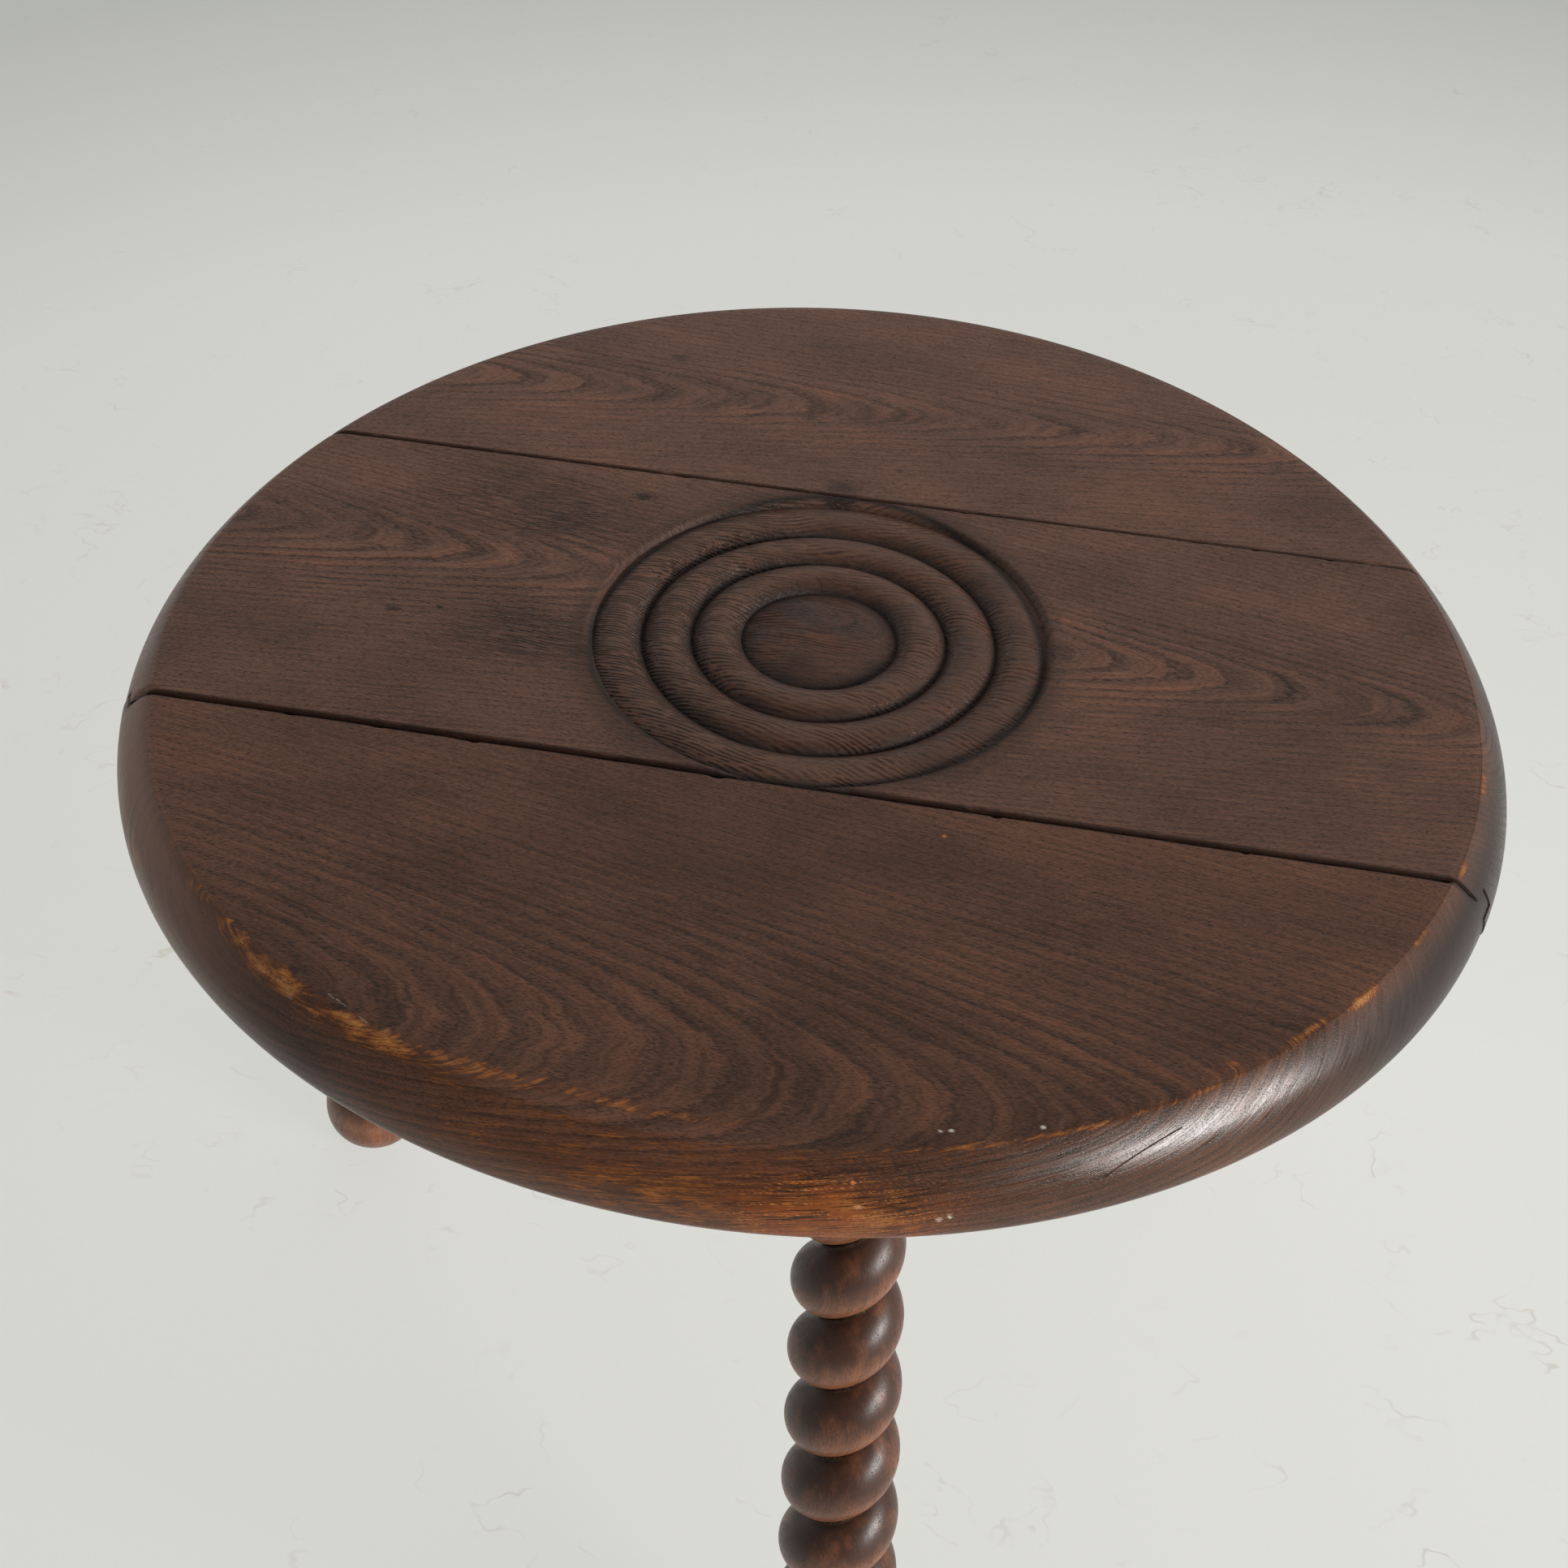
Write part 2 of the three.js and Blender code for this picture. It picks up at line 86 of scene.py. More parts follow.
# The eye in millimetres from the middle of the top's upper face, the turns in degrees, the lens
# in millimetres, and the nearest and farthest that it sees in metres
EYE = (99.3, -697.9, 542.1)
LOOK_DOWN, LOOK_LEFT, ROLL = (math.radians(degrees) for degrees in (41.94, 9.17, 2.15))
LENS, SENSOR = 46.47, 36
NEAREST, FARTHEST = 0.05, 60

ahead = Vector((-math.sin(LOOK_LEFT), math.cos(LOOK_LEFT), 0))
level = Vector((math.cos(LOOK_LEFT), math.sin(LOOK_LEFT), 0))
sight = math.cos(LOOK_DOWN) * ahead - math.sin(LOOK_DOWN) * Vector((0, 0, 1))
upward = math.sin(LOOK_DOWN) * ahead + math.cos(LOOK_DOWN) * Vector((0, 0, 1))
right = math.cos(ROLL) * level + math.sin(ROLL) * upward
over = -math.sin(ROLL) * level + math.cos(ROLL) * upward
stand = Matrix((right, over, -sight)).transposed().to_4x4()
stand.translation = (Vector(EYE) + Vector((TOP_X, TOP_Y, TOP_Z))) * MM
lens = bpy.data.cameras.new("camera")
lens.lens, lens.sensor_width = LENS, SENSOR
lens.clip_start, lens.clip_end = NEAREST, FARTHEST
camera = bpy.data.objects.new("camera", lens)
camera.matrix_world = stand
bpy.context.scene.collection.objects.link(camera)
bpy.context.scene.camera = camera
bpy.context.scene.view_settings.view_transform = "Standard"


# The studio: a pale room that is brightest low down, a soft lamp at the table's right, which
# shines along the rim and on the rolls of the legs, and a broad one above. The floor is paper.
class Field:
    """What varies over a surface: one output of a shader node. Arithmetic on it adds Math nodes."""

    def __init__(self, finish, socket):
        self.finish, self.socket = finish, socket

    def math(self, operation, *values):
        """A Math node's result for those values, which may be fields or numbers."""
        return self.finish.node("Math", values, operation=operation)

    def __add__(self, other):
        return self.math("ADD", self, other)

    def __sub__(self, other):
        return self.math("SUBTRACT", self, other)

    def __rsub__(self, other):
        return self.math("SUBTRACT", other, self)

    def __mul__(self, other):
        return self.math("MULTIPLY", self, other)

    def __truediv__(self, other):
        return self.math("DIVIDE", self, other)

    def __pow__(self, other):
        return self.math("POWER", self, other)

    __radd__, __rmul__ = __add__, __mul__

    def rise(self, start, end):
        """0 before start and 1 past end, with an even slope between; start may be the greater."""
        return self.finish.node("MapRange", (self, start, end, 0.0, 1.0), clamp=True)

    def near(self, middle, width):
        """1 at middle, falling smoothly to 0 at width to either side of it."""
        away = self.math("ABSOLUTE", self - middle)
        return self.finish.node(
            "MapRange", (away, width, 0.0, 0.0, 1.0), interpolation_type="SMOOTHSTEP")


class Finish:
    """A node tree: node() adds a node, and feed() joins fields or sets values on its shader."""

    def __init__(self, data, shader, **constants):
        data.use_nodes = True
        self.data, self.tree = data, data.node_tree
        self.shader = self.tree.nodes[shader]
        self.feed(**constants)

    def node(self, kind, values=(), output=0, stops=None, **settings):
        """A node of that kind with its settings, fed in its sockets' order or by their names."""
        made = self.tree.nodes.new("ShaderNode" + kind)
        for setting, value in settings.items():
            setattr(made, setting, value)
        for place, (position, colour) in enumerate(stops or ()):
            ramp = made.color_ramp.elements
            stop = ramp[place] if place < min(len(ramp), 2) else ramp.new(position)
            stop.position, stop.color = position, colour
        named = values.items() if isinstance(values, dict) else enumerate(values)
        for socket, value in named:
            self.join(made.inputs[socket], value)
        return Field(self, made.outputs[output])

    def join(self, socket, value):
        """Links a field to the socket, or sets a plain value on it."""
        if isinstance(value, Field):
            self.tree.links.new(value.socket, socket)
        else:
            socket.default_value = value

    def feed(self, **fields):
        """Joins fields or values to the shader's sockets, whose names' spaces are underscores."""
        for socket, value in fields.items():
            self.join(self.shader.inputs[socket.replace("_", " ")], value)

    def show(self, surface):
        """Puts another shader than its own on the surface."""
        self.join(self.tree.nodes["Material Output"].inputs["Surface"], surface)

    def parts(self, vector):
        """The vector's x, y and z."""
        return [self.node("SeparateXYZ", (vector,), output=part) for part in range(3)]

    def mix(self, share, first, second, **settings):
        """The first colour where share is 0, and the second where it is 1."""
        colours = {0: share, 6: first, 7: second}
        return self.node("Mix", colours, output=2, data_type="RGBA", **settings)

    def scaled(self, colour, share):
        """The colour times a share, which may vary and be more than 1."""
        return self.node("VectorMath", {0: colour, "Scale": share}, operation="SCALE")

    def stretched(self, place, lengths):
        """The place measured in steps of a length of its own for each axis."""
        return self.node("VectorMath", (place, lengths), operation="DIVIDE")

    def noise(self, place, lengths, detail=2.0, roughness=0.5):
        """Smooth noise about 0.5, whose patches are those lengths across along each axis."""
        values = {
            "Vector": self.stretched(place, lengths), "Scale": 1.0, "Detail": detail,
            "Roughness": roughness}
        return self.node("TexNoise", values)


def new_finish(name, **constants):
    """A material of that name, with constant values on some of its shader's sockets."""
    return Finish(bpy.data.materials.new(name), "Principled BSDF", **constants)


def shade(red, green, blue):
    """The linear colour of an sRGB one that is given in steps of 255."""
    parts = np.array([red, green, blue]) / 255
    linear = np.where(parts <= 0.04045, parts / 12.92, ((parts + 0.055) / 1.055) ** 2.4)
    return (*linear.tolist(), 1.0)


# The paper's colour, and a painted fall-off of light: it pales or darkens with the distance from a
# point under the table
FLOOR_HALF = 12.0
PAPER, PAPER_DUST = shade(240, 239, 233), shade(186, 178, 158)
LIT_DUST, EVEN_DUST = 0.32, 0.4
FADE = [
    (0.1, shade(226, 226, 221)), (0.33, shade(216, 216, 211)), (0.52, shade(211, 211, 208)),
    (0.66, shade(196, 197, 194)), (0.8, shade(180, 182, 179))]
FADE_CENTRE, FADE_REACH, EVEN_SHARE = (0.3, 0.0, 0.0), 3.0, 0.8

ground = bpy.data.meshes.new("floor")
corners = [(-1, -1), (1, -1), (1, 1), (-1, 1)]
ground.from_pydata([(x * FLOOR_HALF, y * FLOOR_HALF, 0) for x, y in corners], [], [(0, 1, 2, 3)])
floor = bpy.data.objects.new("floor", ground)
bpy.context.scene.collection.objects.link(floor)

paper = new_finish("pale_paper", Roughness=0.9, Specular_IOR_Level=0.1)
spot = paper.node("TexCoord", output=3)
away = paper.node("VectorMath", (spot, FADE_CENTRE), output=1, operation="DISTANCE")
hairs = paper.noise(spot, (0.075, 0.055, 0.07), 3.0, 0.55)
patchy = paper.noise(spot, (0.045, 0.06, 0.05), 3.0, 0.6)
cloudy = paper.noise(spot, (0.3, 0.3, 0.3), 2.0)
dust = hairs.near(0.5, 0.014) * patchy.rise(0.52, 0.66) + patchy.rise(0.7, 0.8) * 0.5
dust = dust * cloudy.rise(0.42, 0.56)
paper.feed(Base_Color=paper.mix(dust * LIT_DUST, PAPER, PAPER_DUST))
# The painted fall-off of light over the floor, as the camera sees it
fade = paper.node("ValToRGB", (away / FADE_REACH,), stops=FADE)
fade = paper.mix(dust * EVEN_DUST, fade, PAPER_DUST)
ray = [paper.node("LightPath", output=kind) for kind in ("Is Camera Ray", "Is Glossy Ray")]
even = paper.node("Emission", {"Color": fade, "Strength": 1.0})
lit = Field(paper, paper.shader.outputs[0])
paper.show(paper.node("MixShader", (ray[0].math("MAXIMUM", *ray) * EVEN_SHARE, lit, even)))
ground.materials.append(paper.data)

# The room lights the table dimly, with a paler band low down, and looks even behind it
ROOM_TINT, ROOM_DIM, ROOM_SEEN = (0.98, 0.99, 1.0, 1), 0.07, 0.47
room = Finish(bpy.data.worlds.new("room"), "Background", Color=ROOM_TINT)
across, along, upwards = room.parts(room.node("TexCoord"))
low_glow = upwards.rise(0.77, 0.6) * (0.1 + along.rise(-0.3, 0.5) * 0.28)
side_glow = upwards.rise(0.6, 0.35) * across.rise(0.5, 0.95) * 0.25
left_glow = upwards.rise(0.5, 0.3) * across.rise(-0.42, -0.7) * 0.14
glow = ROOM_DIM + low_glow + side_glow + left_glow
seen = room.node("LightPath", output="Is Camera Ray")
room.feed(Strength=glow + seen * (ROOM_SEEN - glow))
bpy.context.scene.world = room.data


LAMP_TINT, LAMP_AIM = (1, 0.985, 0.96), (0, 0, 0.5)


def hang(name, way, away, size, power, **rays):
    """A rectangular lamp that far away from the table, turned towards it. Each of the rays says
    whether rays of that kind meet it."""
    lamp = bpy.data.lights.new(name, "AREA")
    lamp.shape, lamp.size, lamp.size_y = "RECTANGLE", *size
    lamp.energy, lamp.color = power, LAMP_TINT
    hung = bpy.data.objects.new(name, lamp)
    towards_lamp = Vector(way).normalized()
    place = towards_lamp.to_track_quat("Z", "Y").to_matrix().to_4x4()
    place.translation = Vector(LAMP_AIM) + towards_lamp * away
    hung.matrix_world = place
    for ray, met in rays.items():
        setattr(hung, "visible_" + ray, met)
    bpy.context.scene.collection.objects.link(hung)


hang("side_lamp", way=(0.86, -0.43, 0.3), away=4.2, size=(2.1, 0.9), power=155)
# The broad lamp is polarised, so that nothing mirrors it
hang("broad_lamp", way=(0, 0.4, 0.9), away=2.9, size=(3.2, 2.6), power=34, glossy=False)


# The round top: three boards of dark-stained oak, joined edge to edge with a tongue and a groove,
# cut round and given a bullnose. The oak has shrunk, so the joints stand open, wider at the left.
TOP_RADIUS, ACROSS_SWELL, LOBE_SWELL = 299.8, 1.8, 2.8
RIM_WIDTH, RIM_DEPTH = 16.0, 26.0
UNDER_ROUND_WIDTH, UNDER_ROUND_RISE = 3.0, 4.0
CREASE_SOFTNESS = 1.5
EDGE_HALF = 309.6
FRONT_EDGE, REAR_EDGE = -99.7, 105.2
FRONT_GAPS, REAR_GAPS = (3.6, 2.7), (2.4, 0.5)
FRONT_SLIP = 0.6
SWELL_START, SWELL_RUN, SWELL = 263.0, 5.0, 2.5
TONGUE, GROOVE = 8.0, 8.3
FADE_DEPTH = 9.0
WORN_EDGE, WORN_WAVE, WORN_REACH, CRISP_EDGE = 0.75, 0.3, 90, 0.12
LEAST_WORN, MOST_WORN = 0.35, 3.5
HOLLOW, HOLLOW_REACH = 0.16, 310
# Rows down the sides, by whether the groove and the tongue are cut there, and by their depths
SIDE_ROWS = [
    (0, 0, (0.25, 0.6, 1.1, 1.8, 2.7, 3.8, 5.2, 6.8, 8.6, 10.5)), (1, 0, (10.7, 10.9)),
    (1, 1, (11.1, 12.7, 14.4, 16.1, 17.6, 18.9)), (1, 0, (19.1, 19.3)),
    (0, 0, (19.5, 21.2, 22.8, 24.4, 26.0))]
# Rings of the upper face, by insets from a joint, falls at the rim and shares, and of the underside
ARRIS_INSETS = (5.0, 3.6, 2.5, 1.7, 1.1, 0.7, 0.4, 0.18, 0.05, 0.0)
ARRIS_FALLS = (-5.5, -0.5)
INNER_SHARES = (0.0, 0.02, 0.2, 0.4, 0.6, 0.8, 0.93)
UNDER_TURNS = np.radians((15, 30, 45, 60, 75, 90))
UNDER_SHARES = (0.97, 0.6, 0.25, 0.02, 0.0)


def wave(x, seed, reach, octaves=4):
    """A smooth random wave along x: sines of halving length from reach down, each 0.62 as high as
    the one before, scaled to about -1 to 1."""
    random = np.random.default_rng(seed)
    total = np.zeros_like(x)
    for octave in range(octaves):
        turns = x * (2 * np.pi / reach) * 2.0 ** octave * random.uniform(0.8, 1.25)
        total = total + np.sin(turns + random.uniform(0, 2 * np.pi)) * 0.62 ** octave
    return total / 1.8


def chips(x, seed, count, reach, widths, depths):
    """Bell-shaped chips at random places along x, within reach to both sides of 0."""
    random = np.random.default_rng(seed)
    total = np.zeros_like(x)
    for _ in range(count):
        place, width = random.uniform(-reach, reach), random.uniform(*widths)
        total = total + random.uniform(*depths) * np.exp(-(((x - place) / width) ** 4))
    return total


def wander(angle):
    """How far the hand-cut outline is from a true circle, as a share, at an angle from +X."""
    swell = ACROSS_SWELL * np.cos(2 * angle) + LOBE_SWELL * np.sin(3 * angle)
    return 1 - swell / TOP_RADIUS


def soft_fall(fall):
    """A fall that starts from 0 with a small round instead of a crease."""
    return (fall + np.sqrt(fall ** 2 + CREASE_SOFTNESS ** 2)) / 2


def rim_fall(radius):
    """How far the rim lies below the top at a radius: it falls away faster and faster outwards."""
    inward = np.clip((TOP_RADIUS - radius) / RIM_WIDTH, 0, None)
    return RIM_DEPTH * (1 - np.sqrt(inward))


def rim_radius(fall):
    """The radius at which the rim has fallen that far: rim_fall turned round."""
    return TOP_RADIUS - RIM_WIDTH * (1 - fall / RIM_DEPTH) ** 2


def line_y(line, x):
    """The y of a joint's edge, given as its y at the left and at the right end. A third value is
    how far the edge swells out at the right rim, where its joint has stayed nearly shut."""
    share = np.clip((x - SWELL_START) / SWELL_RUN, 0, 1)
    straight = line[0] + (line[1] - line[0]) * (x + EDGE_HALF) / (2 * EDGE_HALF)
    return straight + line[2] * share * share * (3 - 2 * share)


def corner_angle(radius, line, side, slip):
    """Where a joint's edge meets the outline of that radius, on the right (1) or the left (-1)."""
    angle = 0.0 if side > 0 else math.pi
    for _ in range(14):
        reach = radius * wander(angle)
        lift = math.asin(line_y(line, reach * math.cos(angle) - slip) / reach)
        angle = lift if side > 0 else math.pi - lift
    return angle


class Board:
    """A board between two joint edges, or between one and the rim, as rings round its thickness.
    Each ring runs anticlockwise along the front joint, the right rim, the rear joint and the left
    rim. A joint is crossed in even steps, and a rim in even steps of its angle."""

    def __init__(self, front, rear, slip, joint_steps, rim_steps, seed):
        self.front, self.rear, self.slip = front, rear, slip
        self.joint_steps, self.rim_steps, self.seed = joint_steps, rim_steps, seed

    def outline(self, radius, front_shift, rear_shift):
        """The ring's x and y, and for each point its side: rim 0, front joint 1, rear joint 2."""
        parts, kinds = [], []
        along = np.linspace(0, 1, self.joint_steps, endpoint=False)
        round_rim = np.linspace(0, 1, self.rim_steps, endpoint=False)

        def joint(kind, line, start, end):
            """Even steps along a joint's line, between two angles of the outline."""
            ends = [radius * wander(angle) * math.cos(angle) - self.slip for angle in (start, end)]
            x = ends[0] + (ends[1] - ends[0]) * along
            parts.append(np.stack([x, line_y(line, x)]))
            kinds.append(np.full(self.joint_steps, kind))

        def rim(start, end):
            """Even steps of the angle along the outline, from start to end."""
            angle = start + (end - start) * round_rim
            reach = radius * wander(angle)
            parts.append(np.stack([reach * np.cos(angle) - self.slip, reach * np.sin(angle)]))
            kinds.append(np.full(self.rim_steps, 0))

        def shifted(line, shift):
            """The joint's line moved along y, and the angles of its left and right ends."""
            line = [line[0] + shift, line[1] + shift, line[2]]
            return line, [corner_angle(radius, line, side, self.slip) for side in (-1, 1)]

        if self.front:
            front_line, front = shifted(self.front, front_shift)
            joint(1, front_line, *front)
        if self.rear:
            rear_line, rear = shifted(self.rear, rear_shift)
        if self.front and self.rear:
            rim(front[1], rear[1])
            joint(2, rear_line, rear[1], rear[0])
            rim(rear[0], front[0] % math.tau)
        elif self.rear:
            joint(2, rear_line, rear[1], rear[0])
            rim(rear[0] % math.tau, rear[1] % math.tau)
        else:
            rim(front[1], front[0])
        return np.concatenate(parts, 1), np.concatenate(kinds)

    def inward(self, x, y):
        """How far a point lies inside the nearer joint's edge."""
        gaps = []
        if self.front:
            gaps.append(y - line_y(self.front, x))
        if self.rear:
            gaps.append(line_y(self.rear, x) - y)
        return np.min(gaps, 0)

    def wear(self, x, y):
        """The radius to which use has rounded a joint's upper edge, with a few chips. It stays
        crisp where the joint is nearly shut."""
        seed = self.seed
        front = WORN_EDGE + WORN_WAVE * wave(x, seed, WORN_REACH)
        front = front + chips(x, seed + 1, count=7, reach=260, widths=(1.5, 5), depths=(0.4, 1.6))
        rear = WORN_EDGE + WORN_WAVE * wave(x, seed + 2, WORN_REACH)
        rear = rear + chips(x, seed + 3, count=6, reach=250, widths=(1.5, 5), depths=(0.4, 1.4))
        worn = np.where(y > 0, rear, front) if self.rear else front
        worn = np.clip(worn, LEAST_WORN, MOST_WORN)
        crisp = np.clip((x - SWELL_START) / SWELL_RUN, 0, 1)
        return worn + (CRISP_EDGE - worn) * crisp

    def arris(self, x, y):
        """The drop near a joint's edge: a quarter circle of the worn radius."""
        radius = self.wear(x, y)
        left = np.clip(radius - self.inward(x, y), 0, None)
        return radius - np.sqrt(np.clip(radius ** 2 - np.minimum(left, radius) ** 2, 0, None))

    def height(self, x, y):
        """The upper face as a height over x and y: flat, less the rim, the worn edges, a slight
        hollow across the board, and whatever is carved in it."""
        angle = np.arctan2(y, x + self.slip)
        radius = np.hypot(x + self.slip, y) / wander(angle)
        hollow = HOLLOW * (1 + wave(x + 0.4 * y, self.seed + 5, HOLLOW_REACH, 3) * 0.5)
        flat = -soft_fall(rim_fall(radius)) - self.arris(x, y) - np.clip(hollow, 0, None)
        return self.carved(x, y, flat)

    def carved(self, x, y, flat):
        """The face with its carving, which a plain board hasn't got."""
        return flat

    def inner_rings(self, edge):
        """Rings from a point near the middle of the board out to its first edge ring."""
        centre = edge.mean(1, keepdims=True)
        return [centre + (edge - centre) * share for share in INNER_SHARES]

    def rings(self):
        """Rings from the middle of the upper face out, down the sides, and in under the board."""
        made = []
        falls = np.linspace(*ARRIS_FALLS, len(ARRIS_INSETS))
        falls[-1] = 0.0
        edges = [
            self.outline(rim_radius(fall), inset, -inset)[0]
            for fall, inset in zip(falls, ARRIS_INSETS)
        ]
        for x, y in self.inner_rings(edges[0]) + edges:
            made.append(np.stack([x, y, self.height(x, y)], 1))
        for groove, tongue, depths in SIDE_ROWS:
            shifts = np.array([0.0, GROOVE * groove, TONGUE * tongue])
            for depth in depths:
                plan, kinds = self.outline(rim_radius(depth), *shifts[1:])
                made.append(self.side_row(plan, kinds, depth, shifts[kinds]))
        for angle in UNDER_TURNS:
            radius = TOP_RADIUS - UNDER_ROUND_WIDTH * (1 - math.cos(angle))
            plan, _ = self.outline(radius, 0, 0)
            depth = RIM_DEPTH + UNDER_ROUND_RISE * math.sin(angle)
            made.append(np.stack([plan[0], plan[1], np.full(plan.shape[1], -depth)], 1))
        last = made[-1]
        centre = last.mean(0, keepdims=True)
        for share in UNDER_SHARES:
            made.append(centre + (last - centre) * share)
        return np.array(made)

    def side_row(self, plan, kinds, depth, shift):
        """A ring on the way down. It carries what the edge above it lost, less and less."""
        x, y = plan
        fade = max(0.0, 1 - depth / FADE_DEPTH)
        lost = -self.height(x, y - shift) - soft_fall(0.0)
        drop = np.where(kinds > 0, lost, self.arris(x, y))
        return np.stack([x, y, -(soft_fall(depth) + drop * fade)], 1)


SHARP_ANGLE, DOUBLES, NO_LENGTH = math.radians(32), 2e-7, 1e-8


def loft(name, rings, turn_rows=0):
    """A closed skin over rings of points, in the row frame. A ring's last point joins its first
    one, or the one turn_rows rings on, as on a screw. A ring of equal points closes an end."""
    rows, columns = rings.shape[:2]
    index = np.arange(rows * columns).reshape(rows, columns)
    after = np.roll(index, -1, axis=1)
    after[:, -1] = np.roll(index[:, 0], -turn_rows)
    last = rows - turn_rows
    faces = np.stack([index[:last - 1], after[:last - 1], after[1:last], index[1:last]], -1)
    points = rings.reshape(-1, 3) * MM
    mesh = bpy.data.meshes.new(name)
    mesh.from_pydata(points.tolist(), [], faces.reshape(-1, 4).tolist())
    return finish_skin(name, mesh)


def finish_skin(name, mesh):
    """Merges doubles, turns the faces outwards, smooths all but the sharp edges, and places it."""
    work = bmesh.new()
    work.from_mesh(mesh)
    bmesh.ops.remove_doubles(work, verts=work.verts, dist=DOUBLES)
    bmesh.ops.dissolve_degenerate(work, edges=work.edges, dist=NO_LENGTH)
    loose = [vertex for vertex in work.verts if not vertex.link_faces]
    bmesh.ops.delete(work, geom=loose, context="VERTS")
    bmesh.ops.recalc_face_normals(work, faces=work.faces)
    if work.calc_volume(signed=True) < 0:
        bmesh.ops.reverse_faces(work, faces=work.faces)
    work.to_mesh(mesh)
    work.free()
    mesh.shade_smooth()
    mesh.set_sharp_from_angle(angle=SHARP_ANGLE)
    made = bpy.data.objects.new(name, mesh)
    bpy.context.scene.collection.objects.link(made)
    return made


# The carving: a low boss and three half-round beads between sharp grooves, sunk in the middle
# board by hand. Its wall just reaches the front joint, where the edge has crumbled away.
CARVING_RADIUS, WALL_RUN, CARVING_DEPTH, CARVING_SINK = 99.4, 3.6, 6.0, 0.8
WALL_DEPTH, WALL_BEND = 3.2, 1.8
BOSS_RADIUS, BEADS = 34.2, 3
BEAD_WIDTH = (CARVING_RADIUS - BOSS_RADIUS) / BEADS
HAND_WAVE, FLAT_MARGIN, RING_GAP = 0.22, 6, 0.03
CRUMBLED_AT, CRUMBLED_HALF = 6, 36
BEAD_TURNS = np.radians(np.linspace(-52, 52, 13))
BEAD_SHARES = np.sin(BEAD_TURNS) / np.sin(BEAD_TURNS[-1]) / 2
BOSS_SHARES = np.array([0, 0.03, 0.2, 0.4, 0.55, 0.68, 0.78, 0.86, 0.92, 0.96, 0.985])
WALL_RADII = [99.9, 100.5, 101.2, 101.7, 102.1, 102.6, 103.4, 104.8]
OUTER_SHARES = (0.08, 0.22, 0.42, 0.66, 0.88)


class CarvedBoard(Board):
    """The middle board. Its inner rings are circles about the carving's centre."""

    def wear(self, x, y):
        """The front edge has crumbled where the carving meets it."""
        crumbled = np.exp(-(((x - CRUMBLED_AT) / CRUMBLED_HALF) ** 4))
        crumbled = crumbled * (1.6 + 0.9 * wave(x, 71, 14))
        return super().wear(x, y) + np.where(y < 0, crumbled, 0)

    def carved(self, x, y, flat):
        """The carving's height over x and y: a boss that bulges like a cushion, beads that are
        arcs of a circle, and a wall that curves up to the flat."""
        angle = np.arctan2(y, x)
        radius = np.hypot(x, y) + HAND_WAVE * wave(angle * 57.3, 41, 90, 3)
        rise = CARVING_DEPTH - CARVING_SINK
        bend = ((BEAD_WIDTH / 2) ** 2 + rise ** 2) / (2 * rise)
        across = np.mod(radius - BOSS_RADIUS, BEAD_WIDTH) - BEAD_WIDTH / 2
        bead = np.sqrt(bend ** 2 - across ** 2) - (bend - rise)
        share = np.clip(radius / BOSS_RADIUS, 0, 1)
        boss = rise * (1 - share ** 2.6) ** 0.8
        # The last bead's outer side goes down only as far as the wall does
        outer = radius > CARVING_RADIUS - BEAD_WIDTH / 2
        bead = np.where(outer, rise - (rise - bead) * (WALL_DEPTH - CARVING_SINK) / rise, bead)
        up = np.clip((radius - CARVING_RADIUS) / WALL_RUN, 0, 1)
        wall = CARVING_DEPTH - WALL_DEPTH * (1 - up) ** WALL_BEND
        form = np.where(radius < BOSS_RADIUS, boss, np.where(radius < CARVING_RADIUS, bead, wall))
        return form - CARVING_DEPTH + np.where(radius < CARVING_RADIUS - FLAT_MARGIN, 0, flat)

    def inner_rings(self, edge):
        """Circles, close together where the carving bends, but none of them past the edge."""
        reach = np.hypot(*edge)
        ways = edge / reach
        radii = list(BOSS_RADIUS * BOSS_SHARES)
        for bead in range(BEADS):
            radii += list(BOSS_RADIUS + BEAD_WIDTH * (bead + 0.5 + BEAD_SHARES))
        radii = sorted(set(np.round(radii, 3))) + WALL_RADII
        made = []
        for ring, radius in enumerate(radii):
            limit = reach - RING_GAP * (len(radii) - ring)
            made.append(ways * np.minimum(radius, limit))
        start = np.minimum(radii[-1], reach - RING_GAP)
        return made + [ways * (start + (reach - start) * share) for share in OUTER_SHARES]


def place_board(name, board, node):
    """Lays the board's rings about the top's axis, under its upper face, for its CAD node."""
    rings = board.rings() + np.array([TOP_X, TOP_Y, TOP_Z])
    made = loft(name, rings)
    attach(made, "root")
    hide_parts(node)
    return made


front_rear_edge = [FRONT_EDGE - gap for gap in FRONT_GAPS] + [SWELL]
rear_front_edge = [REAR_EDGE + gap for gap in REAR_GAPS] + [0]
middle_edges = [FRONT_EDGE] * 2 + [0], [REAR_EDGE] * 2 + [0]
front_board = place_board(
    "top_front_board",
    Board(None, front_rear_edge, FRONT_SLIP, joint_steps=520, rim_steps=380, seed=11),
    "front_board")
middle_board = place_board(
    "top_middle_board",
    CarvedBoard(*middle_edges, slip=0, joint_steps=300, rim_steps=90, seed=21),
    "middle_board")
rear_board = place_board(
    "top_rear_board",
    Board(rear_front_edge, None, slip=0, joint_steps=520, rim_steps=380, seed=31),
    "rear_board")


# The oak: every year's growth starts with a band of open pores, which soaks up the dark stain,
# and ends in dense wood, which stays redder. It is waxed, and rubbed bare amber along the rim.
# The tints' usual dark tone is partly dirt and partly painted shade in grooves and valleys
PORE_DIRT, SHADE_AND_DIRT = shade(27, 19, 16), (22, 16, 13)


